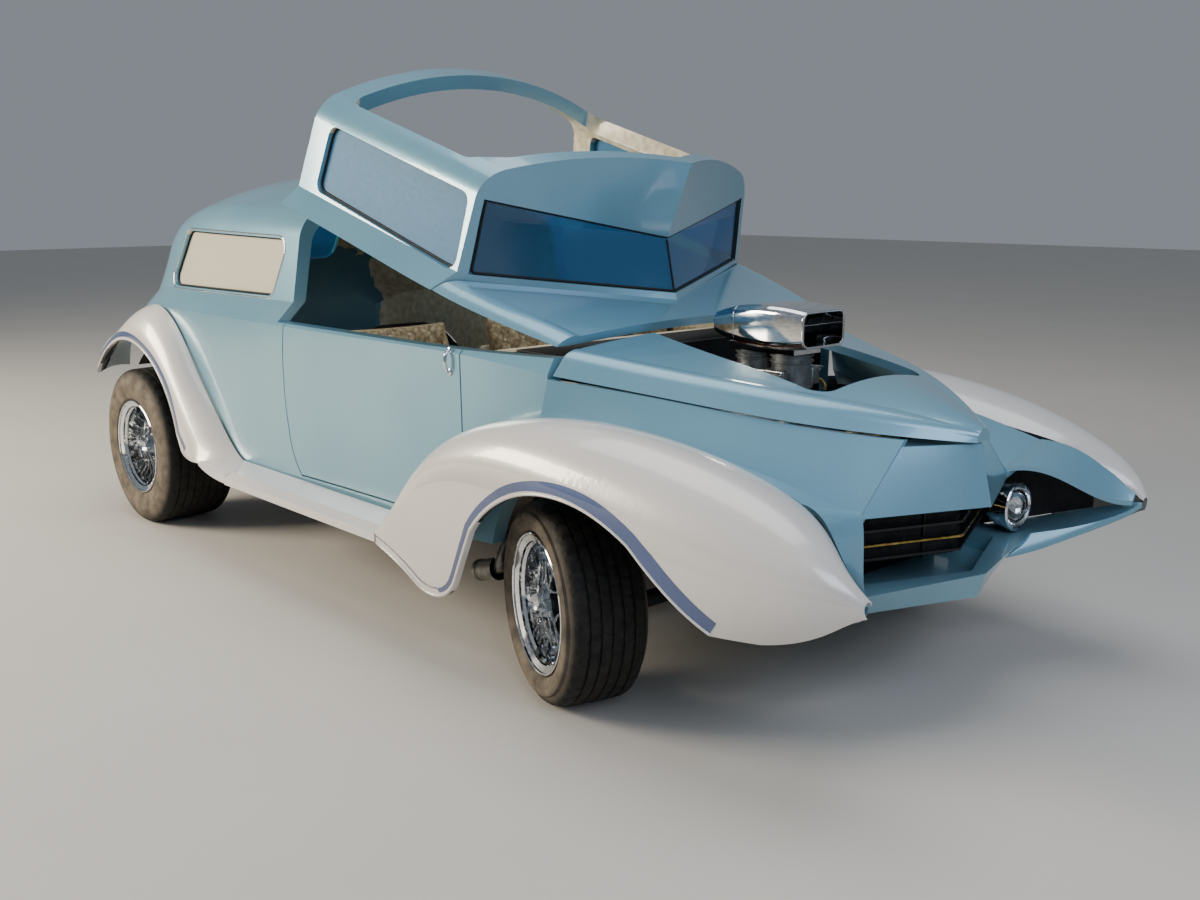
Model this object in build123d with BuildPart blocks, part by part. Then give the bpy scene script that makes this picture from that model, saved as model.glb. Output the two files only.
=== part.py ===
# Hot rod with a flip-up canopy, in millimetres.
# X points forward, Y to the car's left and Z up. Stations along the car are measured from the
# rear axle; the origin lies on the ground under the middle of the car.
from build123d import *
from math import cos, radians, sin
import os

os.makedirs("parts", exist_ok=True)

# Whole car
wheelbase = 2845.0
front_tip_x = 3840.0
tail_tip_x = -420.0
rear_axle_x = -(front_tip_x + tail_tip_x) / 2
seam_gap = 6.0
seat_gap = 0.3

# Wheels and tyres
rim_seat_radius = 190.0
rim_lip_radius = 208.0
rim_wall = 7.0
spoke_count = 10
spoke_width = 16.0
hub_radius = 58.0
rear_tyre_radius = 351.0
rear_tyre_width = 335.0
rear_track_out = 884.0
front_tyre_radius = 303.0
front_tyre_width = 255.0
front_track_out = 854.0
king_pin_y = 610.0
steer_at_rest = -19.8

# Body shell
body_wall = 52.0
belt_z = 995.0
hoop_x = 1175.0
sill_z = 388.0
door_front_x = 2307.0
cowl_front_x = 2655.0
glass_thick = 6.0
glass_inset = 20.0

# Canopy
canopy_hinge_x = 2757.0
canopy_hinge_z = 995.0
canopy_raise = 16.0
apron_wall = 28.0
screen_wall = 26.0
roof_hole_rear_x = 1290.0
roof_hole_half = 582.0
roof_hole_radius = 110.0

# Hood
hood_wall = 25.0
hood_rear_x = 2682.0
hood_mouth_half = 265.0
hood_mouth_front_x = 3340.0

# Fenders and boards
fender_wall = 16.0
fender_joint_gap = 5.0
front_axle_x = wheelbase
rear_lip_radius = 482.0
board_front_x = 2050.0
board_rear_x = 960.0
board_out_y = 915.0
board_in_y = 777.0

# Chassis
rail_in_y = 330.0
rail_out_y = 385.0
rail_low_z = 300.0
rail_high_z = 388.0
cross_size = 60.0
cross_z = 340.0
front_cross_x = 3255.0
rear_cross_x = -300.0
rear_cross_z = 440.0
tie_hole_spacing = 400.0
tie_hole_radius = 9.0
stub_radius = 20.0
rear_stub_y = 700.0


def across(x):
    """Plane over the car's width at a station x behind or ahead of the rear axle."""
    return Plane(origin=(rear_axle_x + x, 0, 0), x_dir=(0, 1, 0), z_dir=(1, 0, 0))


def upright(y):
    """Plane along the car at a distance y from its centre line; its normal points to -Y."""
    return Plane(origin=(rear_axle_x, y, 0), x_dir=(1, 0, 0), z_dir=(0, -1, 0))


def level(z):
    """Plane parallel to the ground at height z."""
    return Plane(origin=(rear_axle_x, 0, z), x_dir=(1, 0, 0), z_dir=(0, 0, 1))


def bulged(a, b, rise):
    """Middle of an arc from a to b that stands out to the left of the way from a to b."""
    dx = b[0] - a[0]
    dy = b[1] - a[1]
    return ((a[0] + b[0]) / 2 - dy * rise, (a[1] + b[1]) / 2 + dx * rise)


def save(piece, name, turn=None):
    """Labels a finished piece, turns it to its resting pose and writes it."""
    shape = piece
    if turn is not None:
        shape = piece.rotate(turn[0], turn[1])
    shape.label = name
    export_step(shape, f"parts/{name}.step")


# Cabin sections, from the tail to the cowl. Columns: station, half-widths at the sill, belt, glass
# foot, glass head and roof edge, heights of the sill, belt, glass foot, glass head and roof edge,
# and the height of the roof's crown.
cabin_rows = [
    (-327, 610, 628, 575, 510, 400, 430, 880, 925, 960, 985, 1005),
    (-215, 690, 712, 630, 560, 450, 405, 930, 1010, 1110, 1180, 1235),
    (-70, 735, 752, 670, 612, 510, 390, 965, 1050, 1235, 1330, 1420),
    (150, 760, 770, 688, 640, 548, 388, 982, 1066, 1300, 1405, 1520),
    (600, 768, 776, 692, 652, 562, 388, 985, 1067, 1315, 1425, 1545),
    (1175, 768, 774, 692, 652, 562, 388, 985, 1067, 1312, 1412, 1530),
    (1700, 760, 768, 684, 645, 560, 388, 985, 1067, 1309, 1407, 1520),
    (2200, 750, 757, 672, 636, 555, 388, 985, 1067, 1305, 1400, 1505),
    (2560, 690, 706, 640, 612, 530, 388, 960, 1060, 1295, 1385, 1490),
    (2700, 655, 670, 612, 590, 510, 388, 940, 1055, 1290, 1380, 1480),
]


def cabin_section(row, inset):
    """Closed outline of one cabin section, drawn inset by a wall."""
    x, sill_w, belt_w, foot_w, head_w, roof_w, sill, belt, foot, head, roof, crown = row
    low = sill - (40 if inset else 0)
    right = [(sill_w - inset, low), (belt_w - inset, belt), (foot_w - inset, foot),
             (head_w - inset, head - inset * 0.3), (roof_w - inset * 0.6, roof - inset * 0.9)]
    left = [(-y, z) for y, z in right]
    Line(left[0], right[0])
    for a, b in zip(right[:3], right[1:4]):
        Line(a, b)
    ThreePointArc(right[3], bulged(right[3], right[4], -0.12), right[4])
    ThreePointArc(right[4], (0, crown - inset), left[4])
    ThreePointArc(left[4], bulged(left[4], left[3], -0.12), left[3])
    for a, b in zip(left[3:0:-1], left[2::-1]):
        Line(a, b)


def cabin_volume(inset):
    """Solid cabin shape, as large as the body less the inset."""
    with BuildPart() as volume:
        for row in cabin_rows:
            station = row[0] + (inset if row is cabin_rows[0] else 0)
            with BuildSketch(across(station)):
                with BuildLine():
                    cabin_section(row, inset)
                make_face()
        loft()
    return volume.part


cabin_outer = cabin_volume(0)
cabin_inner = cabin_volume(body_wall)
cabin_glass_out = cabin_volume(glass_inset)
cabin_glass_in = cabin_volume(glass_inset + glass_thick)

# Door outline. Columns: station, height, clockwise from the rear top corner.
# The lower front corner clears the fender, which the door swings over.
door_points = [(1243, belt_z), (1220, 780), (1238, 590), (1312, 430), (2030, 440), (2150, 556),
               (door_front_x, 712), (door_front_x, belt_z)]


def door_outline(grow=0.0):
    """Door's outline seen from the side, grown outwards by a gap."""
    with BuildSketch() as outline:
        with BuildLine():
            ThreePointArc(door_points[0], (1222, 860), door_points[1])
            ThreePointArc(door_points[1], (1224, 680), door_points[2])
            ThreePointArc(door_points[2], (1262, 500), door_points[3])
            Line(door_points[3], door_points[4])
            ThreePointArc(door_points[4], door_points[5], door_points[6])
            Polyline(*door_points[6:], door_points[0])
        make_face()
        if grow:
            offset(amount=grow, kind=Kind.INTERSECTION)
    return outline.sketch


# Windows, seen from the side. Columns: station, height.
quarter_window = [(182, 1312), (1090, 1300), (1000, 1078), (60, 1070)]
side_window = [(1290, 1318), (2122, 1308), (2150, 1062), (1290, 1082)]


def window_outline(points, radius, shrink=0.0):
    """Window's outline with rounded corners."""
    with BuildSketch() as outline:
        with BuildLine():
            FilletPolyline(*points, radius=radius, close=True)
        make_face()
        if shrink:
            offset(amount=-shrink)
    return outline.sketch


def body_shell():
    """Rear body, sills and cowl as one shell, with wheel tubs."""
    with BuildPart() as body:
        add(cabin_outer)
        add(cabin_inner, mode=Mode.SUBTRACT)
        # the space of the canopy
        with BuildSketch(upright(1000)):
            with BuildLine():
                Polyline((hoop_x, 1700), (hoop_x, belt_z), (3000, belt_z), (3000, 1700), close=True)
            make_face()
        extrude(amount=2000, mode=Mode.SUBTRACT)
        with BuildSketch(upright(1000)):
            add(door_outline(seam_gap))
        extrude(amount=2000, mode=Mode.SUBTRACT)
        with BuildSketch(upright(1000)):
            add(window_outline(quarter_window, 45))
        extrude(amount=2000, mode=Mode.SUBTRACT)
        # back window
        with BuildSketch(across(-500)):
            with Locations((0, 1230)):
                RectangleRounded(620, 170, 60)
        extrude(amount=620, mode=Mode.SUBTRACT)
        # front of the cowl and its wheel house
        with BuildSketch(upright(1000)):
            with BuildLine():
                Polyline((cowl_front_x, 0), (cowl_front_x, 1500), (3100, 1500), (3100, 0), close=True)
            make_face()
            with Locations((front_axle_x, front_tyre_radius)):
                Circle(430)
        extrude(amount=2000, mode=Mode.SUBTRACT)
        with BuildSketch(upright(1000)):
            with Locations((0, rear_tyre_radius)):
                Circle(rear_lip_radius - 30)
        extrude(amount=2000, mode=Mode.SUBTRACT)
    return body.part


def wheel_tubs():
    """Arched boxes over the rear wheels, inside the body."""
    inner_y = 490.0
    wall = 12.0
    outer_r = rear_lip_radius - 32
    with BuildPart() as tubs:
        for side in (-1, 1):
            with BuildSketch(upright(side * inner_y)):
                with Locations((0, rear_tyre_radius)):
                    Circle(outer_r)
            extrude(amount=-side * (715 - inner_y))
        for side in (-1, 1):
            with BuildSketch(upright(side * (inner_y + wall))):
                with Locations((0, rear_tyre_radius)):
                    Circle(outer_r - wall)
            extrude(amount=-side * 300, mode=Mode.SUBTRACT)
        with BuildSketch(level(-200)):
            Rectangle(1200, 1700)
        extrude(amount=sill_z + 200, mode=Mode.SUBTRACT)
    return tubs.part


save(body_shell(), "body_shell")
save(wheel_tubs(), "wheel_tubs")


def door(side, name):
    """One door, cut out of the body's own side."""
    with BuildPart() as leaf:
        add(cabin_outer)
        add(cabin_inner, mode=Mode.SUBTRACT)
        with BuildSketch(upright(side * 400)):
            add(door_outline())
        extrude(amount=-side * 600, mode=Mode.INTERSECT)
    save(leaf.part, name)


door(-1, "door_right")
door(1, "door_left")

# Windscreen and visor: a wall that is a V seen from above. Columns: height, station of the
# V's point, station of its ends at 780 mm from the centre line.
screen_rows = [(960, 2549, 2112), (1238, 2399, 2106), (1560, 2441, 2060)]
screen_end_y = 780.0


def screen_wall_part(front, rear):
    """V-shaped wall between two distances behind the screen's face."""
    with BuildPart() as wall:
        for z, point_x, end_x in screen_rows:
            with BuildSketch(level(z)):
                with BuildLine():
                    Polyline((end_x - front, screen_end_y), (point_x - front, 0),
                             (end_x - front, -screen_end_y), (end_x - rear, -screen_end_y),
                             (point_x - rear, 0), (end_x - rear, screen_end_y), close=True)
                make_face()
        loft(ruled=True)
    return wall.part


# Apron between the screen and the hood. Columns: station, half-width at the belt, half-width and
# height of its shoulder, height of its crown.
apron_rows = [
    (2060, 738, 650, 1045, 1050),
    (2307, 728, 640, 1040, 1050),
    (2520, 686, 596, 1036, 1052),
    (2655, 650, 560, 1028, 1054),
]


def apron_section(row):
    """Band across the car, as thick as the apron."""
    x, belt_w, shoulder_w, shoulder_z, crown = row
    low = belt_z + seam_gap
    outer = [(belt_w, low), (shoulder_w, shoulder_z)]
    inner = [(belt_w - apron_wall * 1.6, low), (shoulder_w - apron_wall, shoulder_z - apron_wall * 0.8)]
    ThreePointArc(outer[0], bulged(outer[0], outer[1], -0.13), outer[1])
    ThreePointArc(outer[1], (0, crown), (-outer[1][0], outer[1][1]))
    ThreePointArc((-outer[1][0], outer[1][1]), bulged((-outer[1][0], outer[1][1]),
                  (-outer[0][0], low), -0.13), (-outer[0][0], low))
    Line((-outer[0][0], low), (-inner[0][0], low))
    Line((-inner[0][0], low), (-inner[1][0], inner[1][1]))
    ThreePointArc((-inner[1][0], inner[1][1]), (0, crown - apron_wall), inner[1])
    Line(inner[1], inner[0])
    Line(inner[0], outer[0])


def apron_part():
    with BuildPart() as apron:
        for row in apron_rows:
            with BuildSketch(across(row[0])):
                with BuildLine():
                    apron_section(row)
                make_face()
        loft()
        # what lies behind the screen stays open
        with BuildSketch(level(900)):
            with BuildLine():
                Polyline((1800, 900), (2060, 900), (2500, 0), (2060, -900), (1800, -900), close=True)
            make_face()
        extrude(amount=400, mode=Mode.SUBTRACT)
    return apron.part


def screen_opening(shrink=0.0):
    """Both panes' outline, seen from the front."""
    with BuildSketch() as outline:
        with BuildLine():
            Polyline((-610, 1302), (0, 1238), (610, 1302), (640, 1062), (0, 1072), (-640, 1062), close=True)
        make_face()
        if shrink:
            offset(amount=-shrink, kind=Kind.INTERSECTION)
    return outline.sketch


canopy_axis = Axis((rear_axle_x + canopy_hinge_x, 0, canopy_hinge_z), (0, 1, 0))


def canopy_shell():
    """Side rails, rear bow, roof rails, visor and apron in one shell."""
    low = belt_z + seam_gap
    with BuildPart() as hollow:
        add(cabin_inner)
        add(screen_wall_part(-900, screen_wall), mode=Mode.SUBTRACT)
    with BuildPart() as shell:
        add(cabin_outer)
        add(screen_wall_part(-900, 0), mode=Mode.SUBTRACT)
        with BuildSketch(upright(1000)):
            with BuildLine():
                Polyline((hoop_x + seam_gap, low), (3000, low), (3000, 1800), (hoop_x + seam_gap, 1800),
                         close=True)
            make_face()
        extrude(amount=2000, mode=Mode.INTERSECT)
        add(hollow.part, mode=Mode.SUBTRACT)
        add(apron_part())
        with BuildSketch(upright(1000)):
            add(window_outline(side_window, 40))
        extrude(amount=2000, mode=Mode.SUBTRACT)
        with BuildSketch(level(1335)):
            with BuildLine():
                FilletPolyline((roof_hole_rear_x, -roof_hole_half), (2010, -roof_hole_half), (2120, -500),
                               (2372, 0), (2120, 500), (2010, roof_hole_half),
                               (roof_hole_rear_x, roof_hole_half), radius=60, close=True)
            make_face()
        extrude(amount=400, mode=Mode.SUBTRACT)
        add(screen_cutter(), mode=Mode.SUBTRACT)
    return shell.part


def screen_cutter():
    """What the panes' opening takes out of the screen wall and the pillars beside it."""
    with BuildPart() as cutter:
        add(screen_wall_part(-20, 75))
        with BuildSketch(across(1500)):
            add(screen_opening())
        extrude(amount=1500, mode=Mode.INTERSECT)
    return cutter.part


canopy = canopy_shell()
save(canopy, "canopy_shell", (canopy_axis, canopy_raise))


def canopy_glass():
    with BuildPart() as panes:
        add(cabin_glass_out)
        add(cabin_glass_in, mode=Mode.SUBTRACT)
        with BuildSketch(upright(1000)):
            add(window_outline(side_window, 40, seat_gap))
        extrude(amount=2000, mode=Mode.INTERSECT)
    return panes.part


def windscreen():
    with BuildPart() as panes:
        add(screen_wall_part(10, 10 + glass_thick))
        with BuildSketch(across(1500)):
            add(screen_opening(seat_gap))
        extrude(amount=1500, mode=Mode.INTERSECT)
    return panes.part


def quarter_glass():
    with BuildPart() as panes:
        add(cabin_glass_out)
        add(cabin_glass_in, mode=Mode.SUBTRACT)
        with BuildSketch(upright(1000)):
            add(window_outline(quarter_window, 45, seat_gap))
        extrude(amount=2000, mode=Mode.INTERSECT)
    return panes.part


def back_glass():
    with BuildPart() as pane:
        add(cabin_glass_out)
        add(cabin_glass_in, mode=Mode.SUBTRACT)
        with BuildSketch(across(-500)):
            with Locations((0, 1230)):
                RectangleRounded(620 - seat_gap * 2, 170 - seat_gap * 2, 60)
        extrude(amount=620, mode=Mode.INTERSECT)
    return pane.part


save(canopy_glass(), "canopy_side_glass", (canopy_axis, canopy_raise))
save(windscreen(), "windshield", (canopy_axis, canopy_raise))
save(quarter_glass(), "quarter_glass")
save(back_glass(), "back_glass")

# Hood sections. Columns: station, half-width and height at the seam, height of the crown.
hood_rows = [
    (2682, 683, 948, 1050),
    (2818, 623, 930, 1026),
    (2992, 541, 906, 1000),
    (3247, 419, 871, 965),
    (3471, 265, 840, 922),
    (3625, 112, 819, 876),
    (3690, 34, 810, 848),
]


def hood_section(row, inset):
    x, half, seam, crown = row
    rise = crown - seam
    half = half - inset
    foot = seam - (30 if inset else 0)
    top = crown - inset
    right = [(half, foot), (half - min(30, half * 0.14), seam + rise * 0.36 - inset * 0.4),
             (half - min(105, half * 0.4), seam + rise * 0.70 - inset * 0.9)]
    left = [(-y, z) for y, z in right]
    Line(left[0], right[0])
    Line(right[0], right[1])
    ThreePointArc(right[1], bulged(right[1], right[2], -0.14), right[2])
    ThreePointArc(right[2], (0, top), left[2])
    ThreePointArc(left[2], bulged(left[2], left[1], -0.14), left[1])
    Line(left[1], left[0])


def hood_volume(rows, inset):
    with BuildPart() as volume:
        for row in rows:
            with BuildSketch(across(row[0])):
                with BuildLine():
                    hood_section(row, inset)
                make_face()
        loft()
    return volume.part


def hood():
    with BuildPart() as lid:
        add(hood_volume(hood_rows, 0))
        add(hood_volume(hood_rows[:-1], hood_wall), mode=Mode.SUBTRACT)
        with BuildSketch(level(700)):
            with BuildLine():
                FilletPolyline((2500, -hood_mouth_half), (hood_mouth_front_x, -hood_mouth_half),
                               (hood_mouth_front_x, hood_mouth_half), (2500, hood_mouth_half),
                               radius=70, close=True)
            make_face()
        extrude(amount=600, mode=Mode.SUBTRACT)
    return lid.part


save(hood(), "hood")

# Nose and its flares. Columns: station, then half-width and height at the hood seam, in the
# valley and at the joint to the fender.
flare_rows = [
    (2665, 690, 936, 712, 850, 726, 792),
    (2850, 607, 918, 640, 830, 668, 806),
    (3150, 464, 878, 548, 778, 612, 792),
    (3350, 352, 848, 468, 720, 592, 760),
    (3563, 190, 820, 378, 640, 604, 705),
]
flare_wall = 18.0


def flare_section(row, side):
    x, seam_w, seam_z, valley_w, valley_z, joint_w, joint_z = row
    outer = [(side * seam_w, seam_z), (side * valley_w, valley_z), (side * joint_w, joint_z)]
    inner = [(side * (seam_w - flare_wall), seam_z), (side * (valley_w - flare_wall), valley_z - flare_wall),
             (side * joint_w, joint_z - flare_wall)]
    Polyline(*outer, *inner[::-1], close=True)


def nose_body():
    """Body sides ahead of the cowl, the prow and the brows over the lamps."""
    with BuildPart() as nose:
        for side in (-1, 1):
            for row in flare_rows:
                with BuildSketch(across(row[0])):
                    with BuildLine():
                        flare_section(row, side)
                    make_face()
            loft()
        # prow
        with BuildSketch(level(633)):
            with BuildLine():
                Polyline((3520, 388), (3563, 378), (3727, 0), (3563, -378), (3520, -388), close=True)
            make_face()
        with BuildSketch(level(803)):
            with BuildLine():
                Polyline((3520, 232), (3563, 200), (3684, 0), (3563, -200), (3520, -232), close=True)
            make_face()
        loft(ruled=True)
        with BuildSketch(level(600)):
            with BuildLine():
                Polyline((3500, 330), (3690, 0), (3500, -330), close=True)
            make_face()
        with BuildSketch(level(790)):
            with BuildLine():
                Polyline((3500, 170), (3650, 0), (3500, -170), close=True)
            make_face()
        loft(ruled=True, mode=Mode.SUBTRACT)
    return nose.part


# Brows. Columns: station, half-width and height of the lower edge, and of the joint.
brow_rows = [(3545, 370, 652, 602, 712), (3666, 505, 632, 650, 680), (3746, 613, 566, 690, 618),
             (3812, 690, 546, 708, 566)]


def brows():
    with BuildPart() as pair:
        for side in (-1, 1):
            for x, low_w, low_z, joint_w, joint_z in brow_rows:
                with BuildSketch(across(x)):
                    with BuildLine():
                        Polyline((side * low_w, low_z), (side * joint_w, joint_z),
                                 (side * joint_w, joint_z - 14), (side * low_w, low_z - 14), close=True)
                    make_face()
            loft()
    return pair.part


with BuildPart() as nose_shell:
    add(nose_body())
    add(brows())
save(nose_shell.part, "nose_shell")

# Front fender sections. Columns: station, then half-width and height of the joint, the crest, the
# widest line and the lip, and the wall.
fender_rows = [
    (2045, 786, 390, 850, 402, 912, 385, 905, 340, 16),
    (2110, 786, 465, 850, 474, 922, 430, 912, 250, 16),
    (2340, 786, 690, 850, 704, 932, 590, 912, 235, 16),
    (2600, 748, 795, 815, 818, 937, 650, 900, 235, 16),
    (2850, 672, 806, 775, 856, 938, 640, 895, 300, 16),
    (3150, 616, 790, 750, 846, 930, 620, 885, 300, 16),
    (3450, 600, 735, 740, 790, 905, 580, 860, 385, 16),
    (3650, 646, 682, 742, 714, 858, 570, 800, 420, 14),
    (3760, 694, 606, 748, 640, 806, 560, 765, 468, 10),
    (3838, 703, 548, 722, 560, 742, 540, 728, 515, 5),
]


def fender_section(row, side):
    x, joint_w, joint_z, crest_w, crest_z, wide_w, wide_z, lip_w, lip_z, wall = row
    joint_w = joint_w + fender_joint_gap
    joint = (side * joint_w, joint_z)
    crest = (side * crest_w, crest_z)
    wide = (side * wide_w, wide_z)
    lip = (side * lip_w, lip_z)
    low_mid = (side * (wide_w * 0.45 + lip_w * 0.55 + (wide_w - lip_w) * 0.30), (wide_z + lip_z) / 2)
    joint_in = (side * joint_w, joint_z - wall)
    crest_in = (side * (crest_w - wall * 0.2), crest_z - wall)
    wide_in = (side * (wide_w - wall), wide_z - wall * 0.3)
    lip_in = (side * (lip_w - wall), lip_z)
    low_mid_in = (low_mid[0] - side * wall, low_mid[1])
    ThreePointArc(joint, crest, wide)
    ThreePointArc(wide, low_mid, lip)
    Line(lip, lip_in)
    ThreePointArc(lip_in, low_mid_in, wide_in)
    ThreePointArc(wide_in, crest_in, joint_in)
    Line(joint_in, joint)


def front_fender(side, name):
    with BuildPart() as fender:
        for row in fender_rows:
            with BuildSketch(across(row[0])):
                with BuildLine():
                    fender_section(row, side)
                make_face()
        loft()
        # lower edge, wheel opening and rear lobe
        with BuildSketch(upright(side * 400)):
            with BuildLine():
                Line((1900, 345), (2045, 345))
                ThreePointArc((2045, 345), (2170, 320), (2278, 269))
                ThreePointArc((2278, 269), (2400, 250), (2500, 330))
                Line((2500, 330), (2600, 505))
                ThreePointArc((2600, 505), (2905, 672), (3250, 596))
                ThreePointArc((3250, 596), (3340, 520), (3479, 410))
                Line((3479, 410), (3900, 410))
                Line((3900, 410), (3900, 0))
                Line((3900, 0), (1900, 0))
                Line((1900, 0), (1900, 345))
            make_face()
        extrude(amount=-side * 700, mode=Mode.SUBTRACT)
    save(fender.part, name)


front_fender(-1, "front_fender_right")
front_fender(1, "front_fender_left")

# Rear fender, drawn round the wheel. Columns: angle above the level, radius at the joint to the
# body, radius of the lip and distance of the joint from the centre line.
rear_fender_rows = [
    (3, 900, 560, 778), (14, 715, 482, 779), (27, 640, 482, 780), (42, 614, 482, 780), (60, 640, 482, 780),
    (78, 655, 482, 779), (95, 598, 482, 774), (118, 552, 482, 735), (142, 530, 482, 715),
]


def rear_fender(side, name):
    bulge_y = 866.0
    lip_y = 880.0
    with BuildPart() as fender:
        for angle, joint_r, lip_r, joint_y in rear_fender_rows:
            c = cos(radians(angle))
            s = sin(radians(angle))
            plane = Plane(origin=(rear_axle_x, 0, rear_tyre_radius), x_dir=(c, 0, s), z_dir=(-s, 0, c))
            bulge_r = joint_r - (joint_r - lip_r) * 0.30
            with BuildSketch(plane):
                with BuildLine():
                    ThreePointArc((joint_r, side * joint_y), (bulge_r, side * bulge_y * 0.985),
                                  (lip_r, side * lip_y))
                    Line((lip_r, side * lip_y), (lip_r, side * (lip_y - fender_wall)))
                    ThreePointArc((lip_r, side * (lip_y - fender_wall)),
                                  (bulge_r - fender_wall, side * (bulge_y * 0.985 - fender_wall)),
                                  (joint_r - fender_wall, side * joint_y))
                    Line((joint_r - fender_wall, side * joint_y), (joint_r, side * joint_y))
                make_face()
        loft()
    save(fender.part, name)


rear_fender(-1, "rear_fender_right")
rear_fender(1, "rear_fender_left")


def running_board(side, name):
    with BuildPart() as board:
        with BuildSketch(across(board_rear_x)):
            with BuildLine():
                Polyline((side * board_in_y, 412), (side * 880, 398), (side * board_out_y, 380),
                         (side * board_out_y, 352), (side * board_in_y, 362), close=True)
            make_face()
        extrude(amount=board_front_x - board_rear_x - 8)
    save(board.part, name)


running_board(-1, "running_board_right")
running_board(1, "running_board_left")


def lower_pan():
    """Valance under the mouth."""
    with BuildPart() as pan:
        with BuildSketch(level(368)):
            with BuildLine():
                Polyline((3300, 400), (3560, 385), (3700, 0), (3560, -385), (3300, -400), close=True)
            make_face()
        with BuildSketch(level(440)):
            with BuildLine():
                Polyline((3300, 480), (3600, 470), (3722, 0), (3600, -470), (3300, -480), close=True)
            make_face()
        loft(ruled=True)
        with BuildSketch(level(386)):
            with BuildLine():
                Polyline((3250, 370), (3540, 360), (3680, 0), (3540, -360), (3250, -370), close=True)
            make_face()
        extrude(amount=100, mode=Mode.SUBTRACT)
    return pan.part


save(lower_pan(), "lower_pan")


def grille():
    bar = 7.0
    with BuildPart() as bars:
        for z in (490, 530, 570, 610):
            with BuildSketch(level(z)):
                with BuildLine():
                    Polyline((3490, 372), (3640, 0), (3490, -372), (3490 - bar * 2, -372),
                             (3640 - bar * 2, 0), (3490 - bar * 2, 372), close=True)
                make_face()
            extrude(amount=bar)
        for y in (-300, -100, 100, 300):
            with Locations((rear_axle_x + 3640 - 14 - abs(y) * 0.403 - 6, y, 550)):
                Box(8, 8, 150)
    return bars.part


save(grille(), "grille_bars")


def headlight(side, name):
    with BuildPart() as lamp:
        with BuildSketch(Plane(origin=(rear_axle_x, side * 440, 526), x_dir=(1, 0, 0), z_dir=(0, 0, 1))):
            with BuildLine():
                Polyline((3480, 0), (3480, 60), (3530, 82), (3560, 82), (3566, 76), (3572, 0), close=True)
            make_face()
        revolve(axis=Axis((rear_axle_x, side * 440, 526), (1, 0, 0)))
    save(lamp.part, name)


headlight(-1, "headlight_right")
headlight(1, "headlight_left")


def frame():
    with BuildPart() as ladder:
        for side in (-1, 1):
            with BuildSketch(upright(side * rail_in_y)):
                with BuildLine():
                    Polyline((-330, 400), (-330, 490), (330, 490), (560, rail_high_z - 2),
                             (3290, rail_high_z - 2), (3290, rail_low_z), (520, rail_low_z),
                             (300, 400), close=True)
                make_face()
            extrude(amount=-side * (rail_out_y - rail_in_y))
        for x in (rear_cross_x, 700, 1500, 2350, front_cross_x):
            z = rear_cross_z if x < 0 else cross_z
            with Locations((rear_axle_x + x, 0, z)):
                Box(cross_size, rail_in_y * 2, cross_size)
        for x, z in ((rear_cross_x, rear_cross_z), (front_cross_x, cross_z)):
            for y in (-tie_hole_spacing / 2, tie_hole_spacing / 2):
                with Locations((rear_axle_x + x, y, z)):
                    Cylinder(tie_hole_radius, cross_size, mode=Mode.SUBTRACT)
    return ladder.part


save(frame(), "frame")


def floor_pan():
    with BuildPart() as floor:
        with BuildSketch(level(rail_high_z)):
            with BuildLine():
                Polyline((562, 700), (2000, 690), (2380, 650), (2380, 430), (2540, 430), (2540, -430),
                         (2380, -430), (2380, -650), (2000, -690), (562, -700), close=True)
            make_face()
        extrude(amount=18)
        with BuildSketch(level(rail_high_z + 112)):
            with BuildLine():
                Polyline((-250, 470), (562, 470), (562, -470), (-250, -470), close=True)
            make_face()
        extrude(amount=16)
        with BuildSketch(level(rail_high_z)):
            with BuildLine():
                Polyline((562, 700), (578, 700), (578, -700), (562, -700), close=True)
            make_face()
        extrude(amount=128)
    return floor.part


save(floor_pan(), "floor_pan")


def firewall():
    with BuildPart() as wall:
        with BuildSketch(across(2545)):
            with BuildLine():
                Polyline((-425, 407), (425, 407), (425, 760), (610, 760), (625, 930), (540, 980),
                         (-540, 980), (-625, 930), (-610, 760), (-425, 760), close=True)
            make_face()
        extrude(amount=16)
    return wall.part


save(firewall(), "firewall")


def engine_block():
    with BuildPart() as block:
        with BuildSketch(across(2700)):
            with BuildLine():
                Polyline((-110, 330), (110, 330), (150, 520), (250, 560), (300, 700), (210, 790),
                         (-210, 790), (-300, 700), (-250, 560), (-150, 520), close=True)
            make_face()
        extrude(amount=520)
        with BuildSketch(across(3220)):
            with Locations((0, 560)):
                Circle(80)
            with Locations((0, 700)):
                Circle(52)
        extrude(amount=60)
    return block.part


def valve_covers():
    with BuildPart() as covers:
        for side in (-1, 1):
            face = Plane(origin=(rear_axle_x + 2960, side * 262, 752), x_dir=(1, 0, 0),
                         z_dir=(0, side * 0.64, 0.77))
            with BuildSketch(face):
                RectangleRounded(470, 100, 20)
            extrude(amount=60)
    return covers.part


def intake():
    with BuildPart() as top:
        with Locations((rear_axle_x + 2950, 0, 825)):
            Box(330, 180, 68)
        with Locations((rear_axle_x + 2880, 0, 925), (rear_axle_x + 3020, 0, 925)):
            Cylinder(62, 130)
    return top.part


def air_scoop():
    scoop_rear_x = 2770.0
    scoop_front_x = 3140.0
    with BuildPart() as scoop:
        for x, w, h, z in ((scoop_rear_x, 170, 70, 1070), (2860, 205, 112, 1072), (scoop_front_x, 205, 112, 1072)):
            with BuildSketch(across(x)):
                with Locations((0, z)):
                    RectangleRounded(w, h, 28)
        loft()
        for x, w, h, z in ((2862, 193, 100, 1072), (scoop_front_x + 1, 193, 100, 1072)):
            with BuildSketch(across(x)):
                with Locations((0, z)):
                    RectangleRounded(w, h, 24)
        loft(mode=Mode.SUBTRACT)
        with Locations((rear_axle_x + 2950, 0, 1003)):
            Box(260, 130, 24.5)
    return scoop.part


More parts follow.
